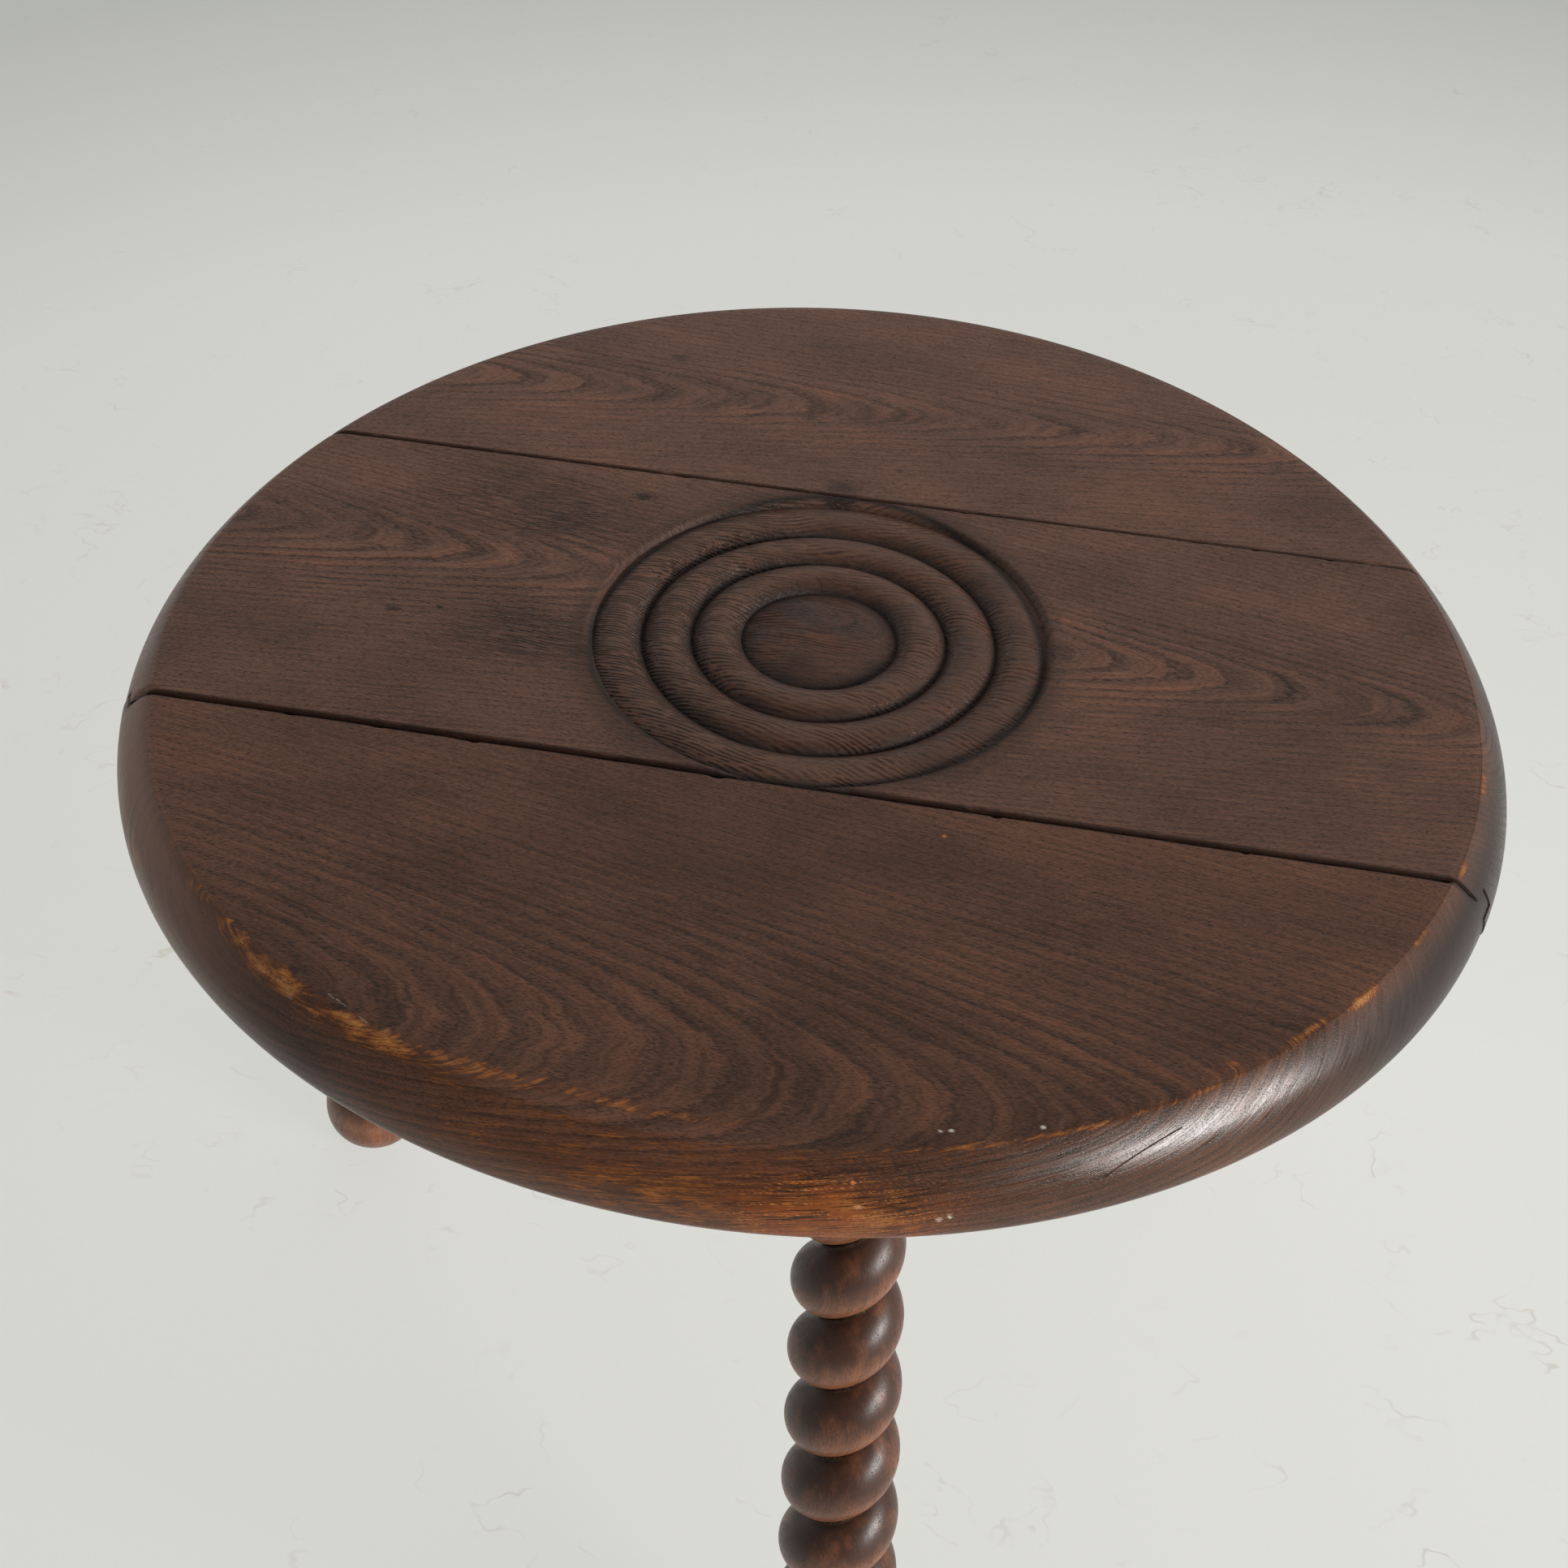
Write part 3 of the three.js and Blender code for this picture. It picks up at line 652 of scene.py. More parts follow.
class Oak(Finish):
    """Stained oak whose grain runs along its own x, in millimetres from a place on its axis."""

    def __init__(self, name, place, rotation, **constants):
        super().__init__(bpy.data.materials.new(name), "Principled BSDF", **constants)
        values = {
            "Vector": self.node("TexCoord", output=3),
            "Location": tuple(MM * part for part in place), "Rotation": rotation}
        local = self.node("Mapping", values, vector_type="TEXTURE")
        self.place = self.node("VectorMath", (local, (1 / MM,) * 3), operation="MULTIPLY")
        self.x, self.y, self.z = self.parts(self.place)

    def grow(self, pith, drift, lean, ring_width, wobble=7.0):
        """Growth rings about a pith at (y, z), which drifts sideways with x, while the rings widen
        or close along x by lean. Sets each place's season, its year's habit, and the flow that
        bends the fibres along the rings."""
        broad = self.noise(self.place, (260.0, 50.0, 50.0), 1.0)
        small = self.noise(self.place, (42.0, 9.0, 9.0), 2.0)
        aside, above = self.y - pith[0] - self.x * drift, self.z - pith[1]
        radius = (aside * aside + above * above) ** 0.5
        reach = radius + self.x * lean + broad * wobble + small * 1.7
        ragged = self.noise(self.place, (5.0, 0.9, 0.9), 1.0)
        years = (reach + (ragged - 0.5) * 1.6) / ring_width
        year, season = years.math("FLOOR", years), years.math("FRACT", years)
        habit = self.node("TexWhiteNoise", {"W": year}, noise_dimensions="1D")
        self.season, self.habit = season, habit
        self.flow = self.node("CombineXYZ", (self.x, reach, self.z))

    def seasons(self, early_share, strength=1.0):
        """How much of the dark early wood and of the red late wood each place has."""
        start = self.season.rise(early_share + 0.22, early_share * 0.4)
        end = self.season.rise(0.93, 1.0)
        self.early = start.math("MAXIMUM", start, end) * (0.5 + self.habit * 0.5) * strength
        late = self.season.rise(early_share + 0.1, 0.85) * self.season.rise(1.0, 0.92)
        self.late = late * (0.4 + self.habit * 0.6) * strength

    def figure(self, tones, pore_strength=0.6, strand_strength=1.0):
        """The stained colour: the tones of the ground, the early wood and the late wood, cloudy
        changes, thin strands and fibres that flow along the rings, and pores as short dashes."""
        ground, dark, red = (shade(*tone) for tone in tones)
        deep = shade(*[0.8 * part for part in tones[1]])
        bright = shade(*[1.4 * part for part in tones[0]])
        cloud = self.noise(self.place, (95.0, 42.0, 42.0), 3.0, 0.55)
        fibre = self.noise(self.flow, (38.0, 0.55, 30.0), 3.0, 0.6)
        strands = self.noise(self.flow, (17.0, 0.6, 12.0), 2.5, 0.65)
        speckle = self.noise(self.place, (1.8, 0.36, 0.36), 2.0, 0.6)
        cells = self.node("TexVoronoi", {
            "Vector": self.stretched(self.place, (3.4, 0.6, 0.7)), "Scale": 1.0})
        limit = 0.25 + self.early * 0.22
        self.pores = cells.rise(limit + 0.06, limit - 0.07)
        self.fibre, self.cloud, self.strands, self.speckle = fibre, cloud, strands, speckle
        colour = self.mix(self.late * cloud.rise(0.36, 0.62) * 0.75, ground, red)
        colour = self.mix(self.early * 0.7, colour, dark)
        colour = self.mix(strands.rise(0.46, 0.3) * 0.55 * strand_strength, colour, deep)
        colour = self.mix(strands.rise(0.54, 0.74) * 0.3 * strand_strength, colour, bright)
        tone = 1 + (fibre - 0.5) * 1.2 + (cloud - 0.5) * 1.3 + (speckle - 0.5) * 1.9
        colour = self.scaled(colour, tone)
        self.colour = self.plain = self.mix(self.pores * pore_strength, colour, PORE_DIRT)

    def tint(self, mask, strength, tone=SHADE_AND_DIRT):
        """Turns the colour towards the tone by the mask times the strength."""
        self.colour = self.mix(mask * strength, self.colour, shade(*tone))

    def spot(self, x, y, size, strength, tone, reach=1.0, z=-0.2):
        """A mark of that radius with ragged edges, reach times as long along x as across."""
        near = self.node("VectorMath", (self.place, (x, y, z)), operation="SUBTRACT")
        away = self.node(
            "VectorMath", (self.stretched(near, (reach, 1, 1)),), output=1, operation="LENGTH")
        ragged = away + (self.strands + self.speckle - 1) * size * 2.2
        self.tint(ragged.rise(size, size * 0.5), strength, tone)

    def score(self, start, end, width, strength, tone):
        """A straight scratch seen from above, whose colour the speckles break up."""
        step = np.subtract(end, start)
        length = float(np.hypot(*step))
        ux, uy = (step / length).tolist()
        x, y = self.x - start[0], self.y - start[1]
        run, aside = x * ux + y * uy, y * ux - x * uy
        mask = aside.near(0, width) * run.rise(0, 2) * run.rise(length, length - 2)
        self.tint(mask * self.speckle.rise(0.46, 0.56), strength, tone)
        return mask

    def finish(self, rough, relief, distance):
        """Sets the colour, the sheen, and the relief, which is given in parts of distance."""
        sheen = rough + self.pores * 0.2 + (self.cloud - 0.5) * 0.2 + self.early * 0.05
        normal = self.node("Bump", {"Strength": 1.0, "Distance": distance * MM, "Height": relief})
        self.feed(Base_Color=self.colour, Roughness=sheen, Normal=normal)
        return self.data


# The wear: hands and knees have rubbed the stain off the rim's crease, mostly at the left of the
# front, and off the rim's face over the front leg. Bare oak shows there, gone amber under wax.
OLD_AMBER, DARK_AMBER = shade(84, 48, 27), shade(112, 64, 27)
AMBER, PALE_AMBER = shade(148, 88, 38), shade(180, 122, 64)
AMBER_STOPS = [(0.35, DARK_AMBER), (0.65, AMBER), (1.0, PALE_AMBER)]
RIDGE_RING, RIDGE_STRAY, RIDGE_WIDTH, RIDGE_SPREAD = 286.5, 11, 2.8, 2.6
RIDGE_MIDDLE, RIDGE_HALF = -116, 36


def rub(oak, patches, ridge=0.0):
    """Wears the stain off in patches, broken up by the grain. Each has its middle's angle and
    half its angle, its radius and half its width, and a strength. The ridge is the long patch
    that follows the crease from the left and then leaves it inwards."""
    angle, radius = oak.angle, oak.radius
    total = None
    for middle, half_angle, ring, half_width, strength in patches:
        patch = angle.near(middle, half_angle) * radius.near(ring, half_width) * strength
        total = patch if total is None else total + patch
    if ridge:
        line = RIDGE_RING - angle.rise(-118, -97) * RIDGE_STRAY
        width = RIDGE_WIDTH + angle.rise(-140, -124) * RIDGE_SPREAD
        aside = (radius - line).math("ABSOLUTE", radius - line)
        total = total + (aside / width).rise(1, 0.2) * angle.near(RIDGE_MIDDLE, RIDGE_HALF) * ridge
    streaks = oak.noise(oak.flow, (15.0, 0.5, 12.0), 3.0, 0.75)
    broken = oak.noise(oak.place, (13.0, 6.0, 6.0), 3.0)
    amount = total * (0.8 + (broken - 0.5) * 3.0) + (streaks - 0.5) * 4.0 - 0.62
    worn = amount.rise(-0.05, 0.22) * total.rise(0, 0.25) * (1 - oak.pores * 0.75)
    depth = oak.speckle * 0.5 + amount * 0.5 + oak.fibre * 0.2
    bare = oak.node("ValToRGB", (depth,), stops=AMBER_STOPS)
    oak.colour = oak.mix(total.rise(0.1, 0.9) * 0.45, oak.colour, OLD_AMBER)
    oak.colour = oak.mix(worn * 0.9, oak.colour, bare)


def board_oak(name):
    """The boards' oak, with each place's angle from +X about the top's axis, and its radius there
    as it would be on a true circle."""
    oak = Oak(name, (TOP_X, TOP_Y, TOP_Z), (0, 0, 0), Specular_IOR_Level=0.45)
    oak.angle = oak.y.math("ARCTAN2", oak.y, oak.x) * (180 / math.pi)
    swell = (oak.angle * (math.pi / 90)).math("COSINE", oak.angle * (math.pi / 90)) * ACROSS_SWELL
    lobes = (oak.angle * (math.pi / 60)).math("SINE", oak.angle * (math.pi / 60)) * LOBE_SWELL
    oak.radius = (oak.x * oak.x + oak.y * oak.y) ** 0.5 + swell + lobes
    return oak


WAX_ROUGH, BOARD_RELIEF, RAW_OAK = 0.44, 0.6, shade(124, 96, 74)


def board_finish(oak, relief=0.0, rough_more=0.0):
    """Satin wax, which hands have polished on the rim, but for its drier end grain. The underside
    has no wax and none of the wear."""
    upper = oak.z.rise(-29.7, -28.6)
    rim = oak.radius.rise(280, 290) * upper
    end_grain = rim * oak.x.math("ABSOLUTE", oak.x).rise(205, 250)
    rough = WAX_ROUGH - rim * 0.18 + rough_more + end_grain * 0.08
    rough = rough + rim * ((oak.strands - 0.5) * 0.5 - oak.pores * 0.12)
    relief = relief * upper + oak.strands * (0.14 - rim * 0.06) + oak.fibre * 0.05
    relief = relief - (oak.pores * 0.16 + oak.early * 0.1) * (1 - rim * 0.85)
    raw = oak.mix(0.3, oak.plain, RAW_OAK)
    oak.colour = oak.mix(upper, raw, oak.colour)
    return oak.finish(rough + (1 - upper) * 0.2, relief, BOARD_RELIEF)


def grime(oak, edge, out):
    """Dirt along a joint: the edge is the y at the board's middle and its slope along x, and the
    board lies on the side of it where out is 1 (to the rear) or -1 (to the front)."""
    inside = (oak.y - edge[0] - oak.x * edge[1]) * out
    oak.tint(inside.rise(1.2, 0.3) * (0.5 + oak.strands * 0.6), 0.8, (30, 21, 17))


BOARD_TONES = [(90, 59, 43), (56, 37, 27), (112, 69, 46)]
LIGHT_BOARD_TONES = [(99, 68, 53), (63, 43, 33), (122, 78, 57)]
RIM_PALE, RIM_DARK = (152, 108, 84), (32, 23, 19)
BROWN_SHADE, DARK_MARK = (44, 31, 26), (24, 17, 14)
SCRATCH, PALE_CHIP = (176, 164, 150), (206, 196, 182)
GLOW, GLOW_BRIGHT = (134, 64, 20), (206, 128, 62)
# On the front board the growth rings close to an arch, and the wear glows amber over the front leg
oak = board_oak("front_board_oak")
oak.grow((-255.0, 100.0), drift=0, lean=0.14, ring_width=3.5, wobble=5.0)
oak.seasons(0.32, 0.33 + oak.y.rise(-130, -215) * 0.48)
oak.figure(BOARD_TONES)
oak.tint(oak.radius.rise(282, 290) * oak.x.rise(-150, -230), 0.5, RIM_PALE)
rub(oak, [
    (-78, 8, 299, 10, 0.8), (-92, 28, 297, 13, 0.85), (-144, 9, 298, 4, 1.3),
    (-60, 26, 284, 1.7, 1.0), (-36.6, 3, 284, 3, 2.2), (-42, 4, 282, 2.5, 1.4),
    (-49, 4, 280, 4, 0.9), (-28, 2, 284, 2, 1.6), (-96, 60, 286, 4, 0.4),
    (-92, 8, 276, 3, 0.9)], ridge=1.4)
glow = oak.angle.near(-79, 12) * oak.radius.near(298, 14)
oak.tint(glow * oak.strands.rise(0.42, 0.5) * oak.cloud.rise(0.34, 0.5), 0.9, GLOW)
sparks = glow.rise(0.1, 0.6) * oak.speckle.rise(0.52, 0.62) * oak.fibre.rise(0.5, 0.62)
oak.tint(sparks, 0.9, GLOW_BRIGHT)
oak.tint(glow.rise(0.1, 0.6) * oak.strands.rise(0.45, 0.38), 0.75, (36, 21, 15))
oak.tint(oak.x.near(-10, 150) * oak.y.near(-150, 60), 0.36, BROWN_SHADE)
oak.tint(oak.y.rise(-160, -215) * oak.radius.rise(290, 280), 0.13, (44, 28, 20))
oak.tint(oak.radius.rise(284, 292) * oak.angle.rise(-48, -34), 0.85, RIM_DARK)
grime(oak, (-102.85, 0.0015), -1)
for x, y, size in ((-151, -238, 2), (-143, -246, 2), (-128, -252, 2.5)):
    oak.spot(x, y, size, 0.6, DARK_MARK, 2.5)
oak.score((-137, -246), (-125, -252), width=0.6, strength=0.6, tone=SCRATCH)
oak.score((-122, -254), (-116, -257.5), width=0.6, strength=0.6, tone=SCRATCH)
oak.score((-152, -246), (-148, -249), width=0.7, strength=0.6, tone=SCRATCH)
for x, y in ((87, -263), (90.5, -262), (121, -254)):
    oak.spot(x, y, 0.8, 0.8, PALE_CHIP, 1.5)
oak.spot(90.9, -284.5, 1.3, 0.6, (196, 176, 152), z=-19.9)
oak.spot(94.3, -283.4, 1.1, 0.8, (214, 200, 182), z=-18.8)
oak.spot(61, -284.7, 1.0, 0.8, (222, 132, 84), z=-7.7)
oak.spot(63.7, -289.1, 0.9, 0.7, (216, 156, 112), 2.0, z=-14.5)
crack = oak.score((142.7, -260.8), (168.4, -238.6), width=0.2, strength=0.9, tone=DARK_MARK)
oak.spot(70, -118.5, 1.0, 0.9, (178, 106, 52))
front_board.data.materials.append(board_finish(oak, crack * -0.5, crack * 0.4))

# On the middle board the carving's gouge marks fan out to the left, over its edge too
FAN_FROM, FAN_TURN, FAN_STEP = 10, 0.0035, 2.2
oak = board_oak("middle_board_oak")
oak.grow((14.0, 28.0), drift=-0.06, lean=0.13, ring_width=3.4, wobble=5.0)
oak.seasons(0.26, 0.45 + oak.radius.rise(95, 125) * oak.y.near(12, 60) * 0.5)
oak.figure(LIGHT_BOARD_TONES)
rub(oak, [(-7.6, 3, 285, 3, 1.3), (-19, 2, 285, 2.5, 1.4), (0, 30, 285, 2.5, 0.3)])
carved = oak.radius.rise(103, 99)
patchy = oak.noise(oak.place, (30.0, 16.0, 16.0), 2.0)
swirl = oak.noise(oak.place, (42.0, 15.0, 15.0), 1.0)
broken = oak.noise(oak.place, (13.0, 1.8, 1.8), 2.0)
fan = (oak.y - FAN_FROM) * (1 - oak.x * FAN_TURN) / FAN_STEP + swirl * 4
ridges = fan.math("FRACT", fan).near(0.5, 0.5) * broken.rise(0.38, 0.54)
scored = ridges * (0.12 + patchy.rise(0.46, 0.62) * 0.6 + oak.x.rise(-5, -50) * 0.55)
scored = scored.math("MINIMUM", scored, 1.0)
oak.tint(carved, 0.55, (45, 30, 23))
oak.tint(carved * patchy.rise(0.48, 0.64), 0.35, (112, 64, 40))
oak.tint(carved * patchy.rise(0.46, 0.34), 0.35, (30, 21, 17))
oak.tint(scored * carved, 0.9, (16, 11, 9))
# A painted highlight: the beads' crests are painted lighter and greyer
crest = oak.z.rise(-3.2, -1.1) * oak.radius.rise(30, 42) * (1 - ridges * 0.8)
crest = crest * (1 - oak.x.rise(20, 70) * 0.5)
oak.tint(carved * crest * (0.5 + broken * 0.9), 0.36, (132, 98, 78))
# Painted shade: the carving darkens towards the floors of its grooves, and in the groove at its
# wall
deep = oak.z.rise(-3.0, -5.8) * carved
oak.tint(deep, 0.85)
oak.tint(oak.radius.near(99.8, 3.2), 0.85)
oak.tint(oak.radius.near(104, 10) * (0.3 + oak.cloud), 0.5, (40, 29, 25))
for x, y, size in ((-186, -25, 3), (-167, -20, 1.6), (-99.5, 84, 4), (-204, 34, 2), (-8, 103, 7)):
    oak.spot(x, y, size, 0.8, DARK_MARK, 1.5)
rough_left = oak.x.near(-150, 95) * oak.y.near(62, 48)
rough_left = rough_left + oak.x.near(-125, 60) * oak.y.near(-32, 30)
rough_left = rough_left.math("MINIMUM", rough_left + 0.12, 1.0)
oak.tint(rough_left * scored, 0.7)
relief = rough_left * oak.early * -1.0 - scored * (carved + rough_left) * 1.2
oak.tint(oak.radius.rise(284, 292) * oak.x.rise(150, 220), 0.8, RIM_DARK)
oak.tint(oak.radius.rise(282, 290) * oak.x.rise(-150, -230), 0.5, RIM_PALE)
oak.tint(oak.y.rise(10, -60), 0.12, BROWN_SHADE)
oak.tint(oak.x.rise(100, 170), 0.1, BROWN_SHADE)
grime(oak, (FRONT_EDGE, 0), 1)
grime(oak, (REAR_EDGE, 0), -1)
wall = oak.radius.near(101, 5)
middle_board.data.materials.append(board_finish(oak, relief, deep * 0.2 + wall * 0.3))

oak = board_oak("rear_board_oak")
oak.grow((185.0, 34.0), drift=0.045, lean=0.0875, ring_width=3.5, wobble=5.0)
oak.seasons(0.12, 0.45 + oak.y.near(186, 45) * 0.45)
oak.figure(LIGHT_BOARD_TONES)
rub(oak, [(100, 30, 286, 2, 0.2)])
for x, y, size in ((-8, 112, 7), (-34, 171, 3), (-112, 213, 4), (16, 133, 1.5)):
    oak.spot(x, y, size, 0.6, (34, 25, 21), 1.5)
grime(oak, (106.65, -0.0031), 1)
rear_board.data.materials.append(board_finish(oak))


# The legs: each is carved from one oak square as a right-handed rope of a single strand, which
# swells downwards into a ball foot. A neck and a round tenon hold it in the bearer's arm.
LEG_TOP, LEG_FOOT, LEG_TOP_Z = 195.0, 297.0, 490.0
BALL_RADIUS, BALL_FLAT = 30.3, 1.1
PITCH, VALLEY = 38.75, 13.0
FOOT_CREST, HEAD_CREST = 30.2, 20.9
NECK_RADIUS, NECK_LENGTH, TENON_RADIUS = 19.0, 12.0, 13.0
START_ROUND, START_SWELL, RUN_OUT = 12.0, 5.5, 22.0
SHOULDER_DEPTH, BEARER_DEPTH, SEAT_GAP = 4.4, 38.0, 0.3
FRONT_SPOKE = 284.4
SPOKES = {"front": FRONT_SPOKE, "rear": FRONT_SPOKE + 120, "left": FRONT_SPOKE + 240}
ROPE_SOFT, CORE_SLOPE, BALL_SOFT, BALL_EASE, POLE_GAP = 0.6, 0.48, 0.8, 0.12, 4
ball_z = BALL_RADIUS - BALL_FLAT
LEG_LENGTH = math.hypot(LEG_TOP_Z - ball_z, LEG_FOOT - LEG_TOP)
SPLAY = math.atan2(LEG_FOOT - LEG_TOP, LEG_TOP_Z - ball_z)
seat_depth = BEARER_DEPTH + SEAT_GAP - SHOULDER_DEPTH
SHOULDER = LEG_LENGTH - seat_depth / math.cos(SPLAY)
TWIST_TOP = SHOULDER - NECK_LENGTH
ROPE_BEND = ((PITCH / 2) ** 2 + VALLEY ** 2) / (2 * VALLEY)


def rope_radius(angle, z):
    """The strand's outline: equal arcs along the axis, moved up by a pitch for each turn."""
    away = np.mod(z / PITCH - angle / (2 * np.pi) + 0.5, 1) - 0.5
    crest = FOOT_CREST + (HEAD_CREST - FOOT_CREST) * z / LEG_LENGTH
    return crest - ROPE_BEND + np.sqrt(ROPE_BEND ** 2 - (away * PITCH) ** 2)


def soft_most(first, second, soft):
    """The larger of two radii, with a small hollow round where they meet."""
    return (first + second + np.sqrt((first - second) ** 2 + soft ** 2)) / 2


def leg_rings(columns=72, steps=22):
    """Rows of points that follow the winding, so that the valley is a true edge. Below the rope
    the radius is the ball's, and above it the neck's. The rows end in the two ends' centres, and
    in each turn they climb by steps rows."""
    swing = np.arctan2(VALLEY, PITCH / 2) * 2
    local = ROPE_BEND * np.sin(np.linspace(-swing, swing, steps, endpoint=False)) / PITCH
    turns = np.arange(-3, int(LEG_LENGTH / PITCH) + 4)
    rows = (turns[:, None] + local[None, :]).ravel()
    angle = np.linspace(0, 2 * np.pi, columns, endpoint=False)
    along = (rows[:, None] + angle[None, :] / (2 * np.pi)) * PITCH
    angle = np.broadcast_to(angle, along.shape)
    # The ball's lower half is walked by its angle, and the flat under it by its radius
    low_arc = np.clip(along / BALL_RADIUS, -np.pi / 2, 0)
    z = np.where(along < 0, BALL_RADIUS * np.sin(low_arc), along)
    z = np.minimum(z, LEG_LENGTH - POLE_GAP)
    ball = np.sqrt(np.clip(BALL_RADIUS ** 2 - z ** 2, 0, None))
    ball = np.where(along < 0, BALL_RADIUS * np.cos(low_arc), ball)
    rope = rope_radius(angle, z)
    lift = np.clip((TWIST_TOP - z) / START_ROUND, 0, 1)
    start = NECK_RADIUS + START_SWELL * np.sqrt(np.clip(1 - (1 - lift) ** 2, 0, 1))
    start = np.where(z < TWIST_TOP - START_ROUND, start + (TWIST_TOP - START_ROUND - z), start)
    rope = np.minimum(rope, start)
    core = NECK_RADIUS - (TWIST_TOP - z) * CORE_SLOPE
    rope = soft_most(rope, core, ROPE_SOFT)
    body = np.where(z > TWIST_TOP, NECK_RADIUS, rope)
    body = np.where(z > SHOULDER, TENON_RADIUS, body)
    body = np.where(z < 0, ball, soft_most(body, ball, BALL_SOFT) - BALL_EASE * (ball > 0))
    upper_pole = along >= LEG_LENGTH - POLE_GAP
    lower_pole = along <= -BALL_RADIUS * np.pi / 2
    body = np.where(upper_pole | lower_pole, 0, body)
    return np.stack([body * np.cos(angle), body * np.sin(angle), z], -1), steps


def leg_matrix(spoke):
    """From a leg that stands upright on its ball's centre to its leaning place."""
    lean = Matrix.Rotation(-SPLAY, 4, "Y")
    lean.translation = (LEG_FOOT, 0, ball_z)
    turn = Matrix.Rotation(math.radians(SPOKES[spoke]), 4, "Z")
    turn.translation = (TOP_X, TOP_Y, 0)
    return turn @ lean


def moved(points, matrix):
    """The points under a matrix of millimetres."""
    full = np.array(matrix)
    return points @ full[:3, :3].T + full[:3, 3]


LEG_TONES = [(144, 89, 58), (106, 66, 44), (160, 97, 58)]
leg_points, leg_turn_rows = leg_rings()
for spoke in SPOKES:
    matrix = leg_matrix(spoke)
    placed = moved(leg_points, matrix)
    placed[..., 2] = np.maximum(placed[..., 2], 0)
    leg = loft(f"twist_leg_{spoke}", placed, leg_turn_rows)
    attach(leg, "root")
    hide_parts(f"leg_{spoke}")

    # The grain runs up the leg, and its pith lies well outside it. Each roll is painted darker
    # above, as painted shade under the table top
    upright = matrix @ Matrix.Rotation(math.radians(-90), 4, "Y")
    oak = Oak(f"leg_oak_{spoke}", matrix.translation, tuple(upright.to_euler()),
              Specular_IOR_Level=0.5)
    oak.grow((70.0, 25.0), drift=0, lean=0.02, ring_width=4.4)
    oak.seasons(0.3, 0.5)
    oak.figure(LEG_TONES, 0.4, 0.5)
    crest = FOOT_CREST + oak.x * ((HEAD_CREST - FOOT_CREST) / LEG_LENGTH)
    sunk = crest - (oak.y * oak.y + oak.z * oak.z) ** 0.5
    rope = oak.x.rise(10, 25)
    winding = oak.x / PITCH - oak.y.math("ARCTAN2", oak.y, oak.z * -1) / (2 * math.pi) + 0.5
    above = winding.math("FRACT", winding).rise(0.26, 0.6)
    blotches = oak.noise(oak.place, (16.0, 9.0, 9.0), 3.0)
    oak.tint(above * blotches.rise(0.1, 0.5) * rope, 0.85, (54, 36, 30))
    # Dark blotches all over, stronger on each roll's upper side as painted shade
    oak.tint(blotches.rise(0.46, 0.66) * (0.4 + above * 0.6), 0.5, (74, 47, 35))
    # Painted shade in the rope's valleys
    oak.tint(sunk.rise(7.5, 11.5) * rope, 0.8)
    crumbs = sunk.near(10.6, 1.3) * rope * blotches.rise(0.38, 0.5) * oak.speckle.rise(0.47, 0.57)
    oak.tint(crumbs, 0.7, (150, 130, 104))
    relief = oak.fibre * 0.08 - oak.pores * 0.03
    leg.data.materials.append(oak.finish(rough=0.36, relief=relief, distance=0.5))


# The bearer: a round hub and three arms, tenoned into it, pegged and screwed up into the boards.
# It is plain oak, sawn and thinly stained, because nobody sees it from above.
BEARER_HEART = (TOP_X, TOP_Y, 470)
BEARER_TONES = [(112, 80, 58), (80, 57, 43), (128, 90, 64)]
EASED_ANGLE, FLAT_ANGLE, EASED_DOUBLES = math.radians(38), math.radians(0.6), 1e-6


def bearer_oak(name, degrees):
    """Plain oak whose grain runs along a piece that lies at that many degrees from +X."""
    oak = Oak(name, BEARER_HEART, (0, 0, math.radians(degrees)), Specular_IOR_Level=0.3)
    oak.grow((40.0, -90.0), drift=0, lean=0.03, ring_width=3.8)
    oak.seasons(0.25)
    oak.figure(BEARER_TONES, 0.55)
    relief = oak.fibre * 0.12 - oak.pores * 0.3 - oak.early * 0.1
    return oak.finish(rough=0.6, relief=relief, distance=0.8)


def eased_copy(name, node, round_off, material):
    """The node's own solid, with its doubles merged and its edges eased."""
    made = frame["nodes"][node].copy()
    made.data = made.data.copy()
    made.name = made.data.name = name
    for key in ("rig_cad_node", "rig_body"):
        if key in made:
            del made[key]
    bpy.context.scene.collection.objects.link(made)
    work = bmesh.new()
    work.from_mesh(made.data)
    bmesh.ops.remove_doubles(work, verts=work.verts, dist=EASED_DOUBLES)
    bmesh.ops.dissolve_limit(work, angle_limit=FLAT_ANGLE, verts=work.verts, edges=work.edges)
    work.to_mesh(made.data)
    work.free()
    ease = made.modifiers.new("eased_edges", "BEVEL")
    ease.width, ease.segments, ease.limit_method = round_off * MM, 2, "ANGLE"
    ease.angle_limit, ease.harden_normals = EASED_ANGLE, False
    made.data.shade_smooth()
    made.data.set_sharp_from_angle(angle=EASED_ANGLE)
    made.data.materials.clear()
    made.data.materials.append(material)
    made.hide_render = made.hide_viewport = False
    made.parent = None
    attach(made, "root")
    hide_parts(node)


eased_copy("bearer_hub", "hub", 0.7, bearer_oak("hub_oak", 20))
for spoke, degrees in SPOKES.items():
    arm_oak = bearer_oak(f"arm_oak_{spoke}", degrees)
    eased_copy(f"bearer_arm_{spoke}", f"arm_{spoke}", 0.9, arm_oak)


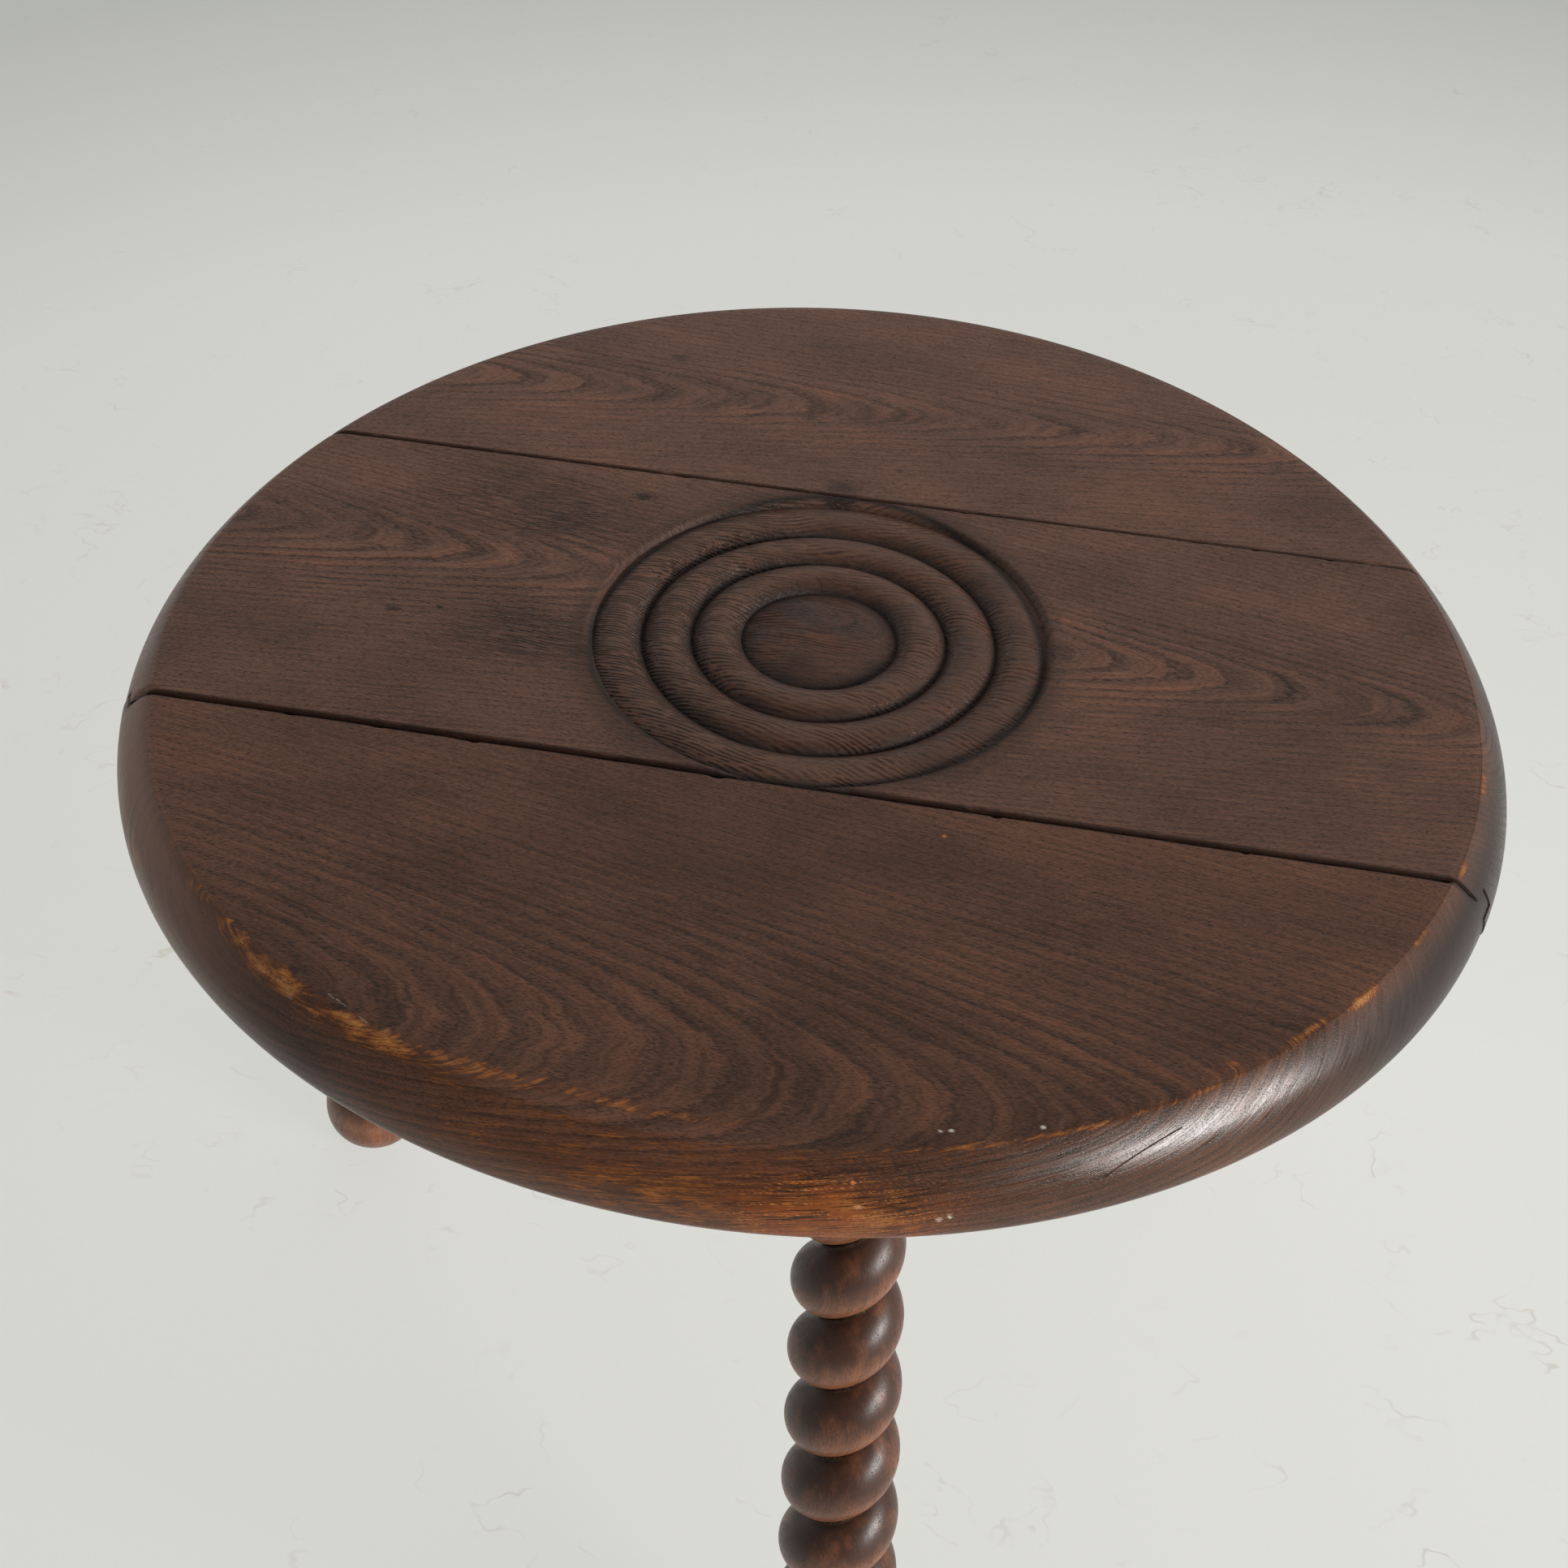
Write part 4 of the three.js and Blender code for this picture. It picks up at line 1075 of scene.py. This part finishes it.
# Pegs and wedges: riven oak pegs through the arms' tenons, which stand a little proud of the
# bearer, and thin oak wedges that spread the legs' tenons. Both are bare wood, eased with a knife.
PEG_TONES = [(146, 108, 74), (104, 74, 50), (158, 118, 80)]
UPRIGHT = (0, math.radians(90), 0)
for spoke in SPOKES:
    for kind, round_off in (("peg", 0.45), ("wedge", 0.12)):
        oak = Oak(f"{kind}_oak_{spoke}", BEARER_HEART, UPRIGHT, Specular_IOR_Level=0.3)
        oak.grow((12.0, -8.0), drift=0, lean=0.01, ring_width=1.6, wobble=2.0)
        oak.seasons(0.25)
        oak.figure(PEG_TONES, 0.5)
        relief = oak.fibre * 0.1 - oak.pores * 0.3
        skin = oak.finish(rough=0.65, relief=relief, distance=0.4)
        eased_copy(f"oak_{kind}_{spoke}", f"{kind}_{spoke}", round_off, skin)


# The screws: slotted countersunk wood screws of dull old steel, driven up into the boards from
# below. Each has a turned head, a filed slot, a plain shank, and a thread that ends in a point.
SCREW_LENGTH, HEAD_RADIUS, HEAD_RIM, CONE_TOP, SHANK_RADIUS = 45.0, 4.8, 0.6, 3.2, 2.4
SLOT_HALF, SLOT_DEPTH, HEAD_EASE = 0.6, 1.3, 0.15
THREAD_START, THREAD_FADE, THREAD_PITCH, THREAD_DEPTH, POINT_START = 15.0, 3.0, 2.3, 0.62, 38.0
THREAD_ROW, SCREW_TURN = 0.36, 2.4
STEEL, RUST = shade(150, 146, 138), shade(92, 64, 48)


def cone_radius(z):
    """The countersunk head's radius at a height between its rim and the shank."""
    share = (z - HEAD_RIM) / (CONE_TOP - HEAD_RIM)
    return HEAD_RADIUS + (SHANK_RADIUS - HEAD_RADIUS) * share


def screw_rings():
    """Rings from the middle of the head's face out, round the head and up to the point. In the
    slot's two bands of columns no point is lower than the slot's floor. The thread is a valley
    whose depth is an arch of the place between two turns."""
    face = [0, 0.2, 0.4, SLOT_HALF, 0.8, 1.5, 2.4, 3.3, 4.1, HEAD_RADIUS - HEAD_EASE]
    profile = [(radius, 0.0) for radius in face]
    profile += [(HEAD_RADIUS, HEAD_EASE), (HEAD_RADIUS, HEAD_RIM)]
    profile += [(cone_radius(z), z) for z in np.linspace(HEAD_RIM, CONE_TOP, 9)[1:]]
    threaded = np.arange(THREAD_START, SCREW_LENGTH - 0.1, THREAD_ROW)
    profile += [(SHANK_RADIUS, z) for z in (6.0, 10.0, 14.0, *threaded)]
    profile += [(0.0, SCREW_LENGTH)]
    floor_radius = cone_radius(SLOT_DEPTH)
    rings = []
    steps = np.linspace(0, 1, 9)
    for radius, z in profile:
        band = math.asin(min(1.0, SLOT_HALF / max(radius, SLOT_HALF)))
        slot_turn = -band + 2 * band * steps[::2]
        open_turn = band + (math.pi - 2 * band) * steps
        turns = [slot_turn, open_turn, math.pi + slot_turn, math.pi + open_turn]
        angle = np.concatenate(turns)
        in_slot = [np.full(len(turn), cut) for turn, cut in zip(turns, (True, False) * 2)]
        in_slot = np.concatenate(in_slot)
        height = np.where(in_slot & (z < SLOT_DEPTH), SLOT_DEPTH, z)
        reach = np.where(in_slot & (z < SLOT_DEPTH), min(radius, floor_radius), radius)
        between = np.mod(z / THREAD_PITCH - angle / (2 * np.pi), 1)
        valley = THREAD_DEPTH * np.sin(np.pi * between) ** 0.8
        reach = reach - valley * np.clip((z - THREAD_START) / THREAD_FADE, 0, 1)
        taper = np.clip((SCREW_LENGTH - z) / (SCREW_LENGTH - POINT_START), 0, 1)
        reach = reach * taper ** 0.8
        rings.append(np.stack([reach * np.cos(angle), reach * np.sin(angle), height], 1))
    return np.array(rings)


steel = new_finish("old_steel", Metallic=1.0)
grit = steel.noise(steel.node("TexCoord", output=3), (MM * 1.2,) * 3, 3.0)
rust = grit.rise(0.52, 0.7)
steel.feed(Base_Color=steel.mix(rust, STEEL, RUST), Roughness=0.38 + rust * 0.4)
one_screw = screw_rings()
screw_nodes = sorted(name for name in frame["nodes"] if name.startswith("screw"))
for count, node in enumerate(screw_nodes):
    box_low, box_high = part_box(node)
    middle = (box_low + box_high) / 2 / MM
    turned = np.array(Matrix.Rotation(SCREW_TURN * count, 3, "Z"))
    place = np.array([middle.x, middle.y, box_low.z / MM])
    made = loft(f"wood_{node}", one_screw @ turned.T + place)
    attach(made, "root")
    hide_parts(node)
    made.data.materials.append(steel.data)
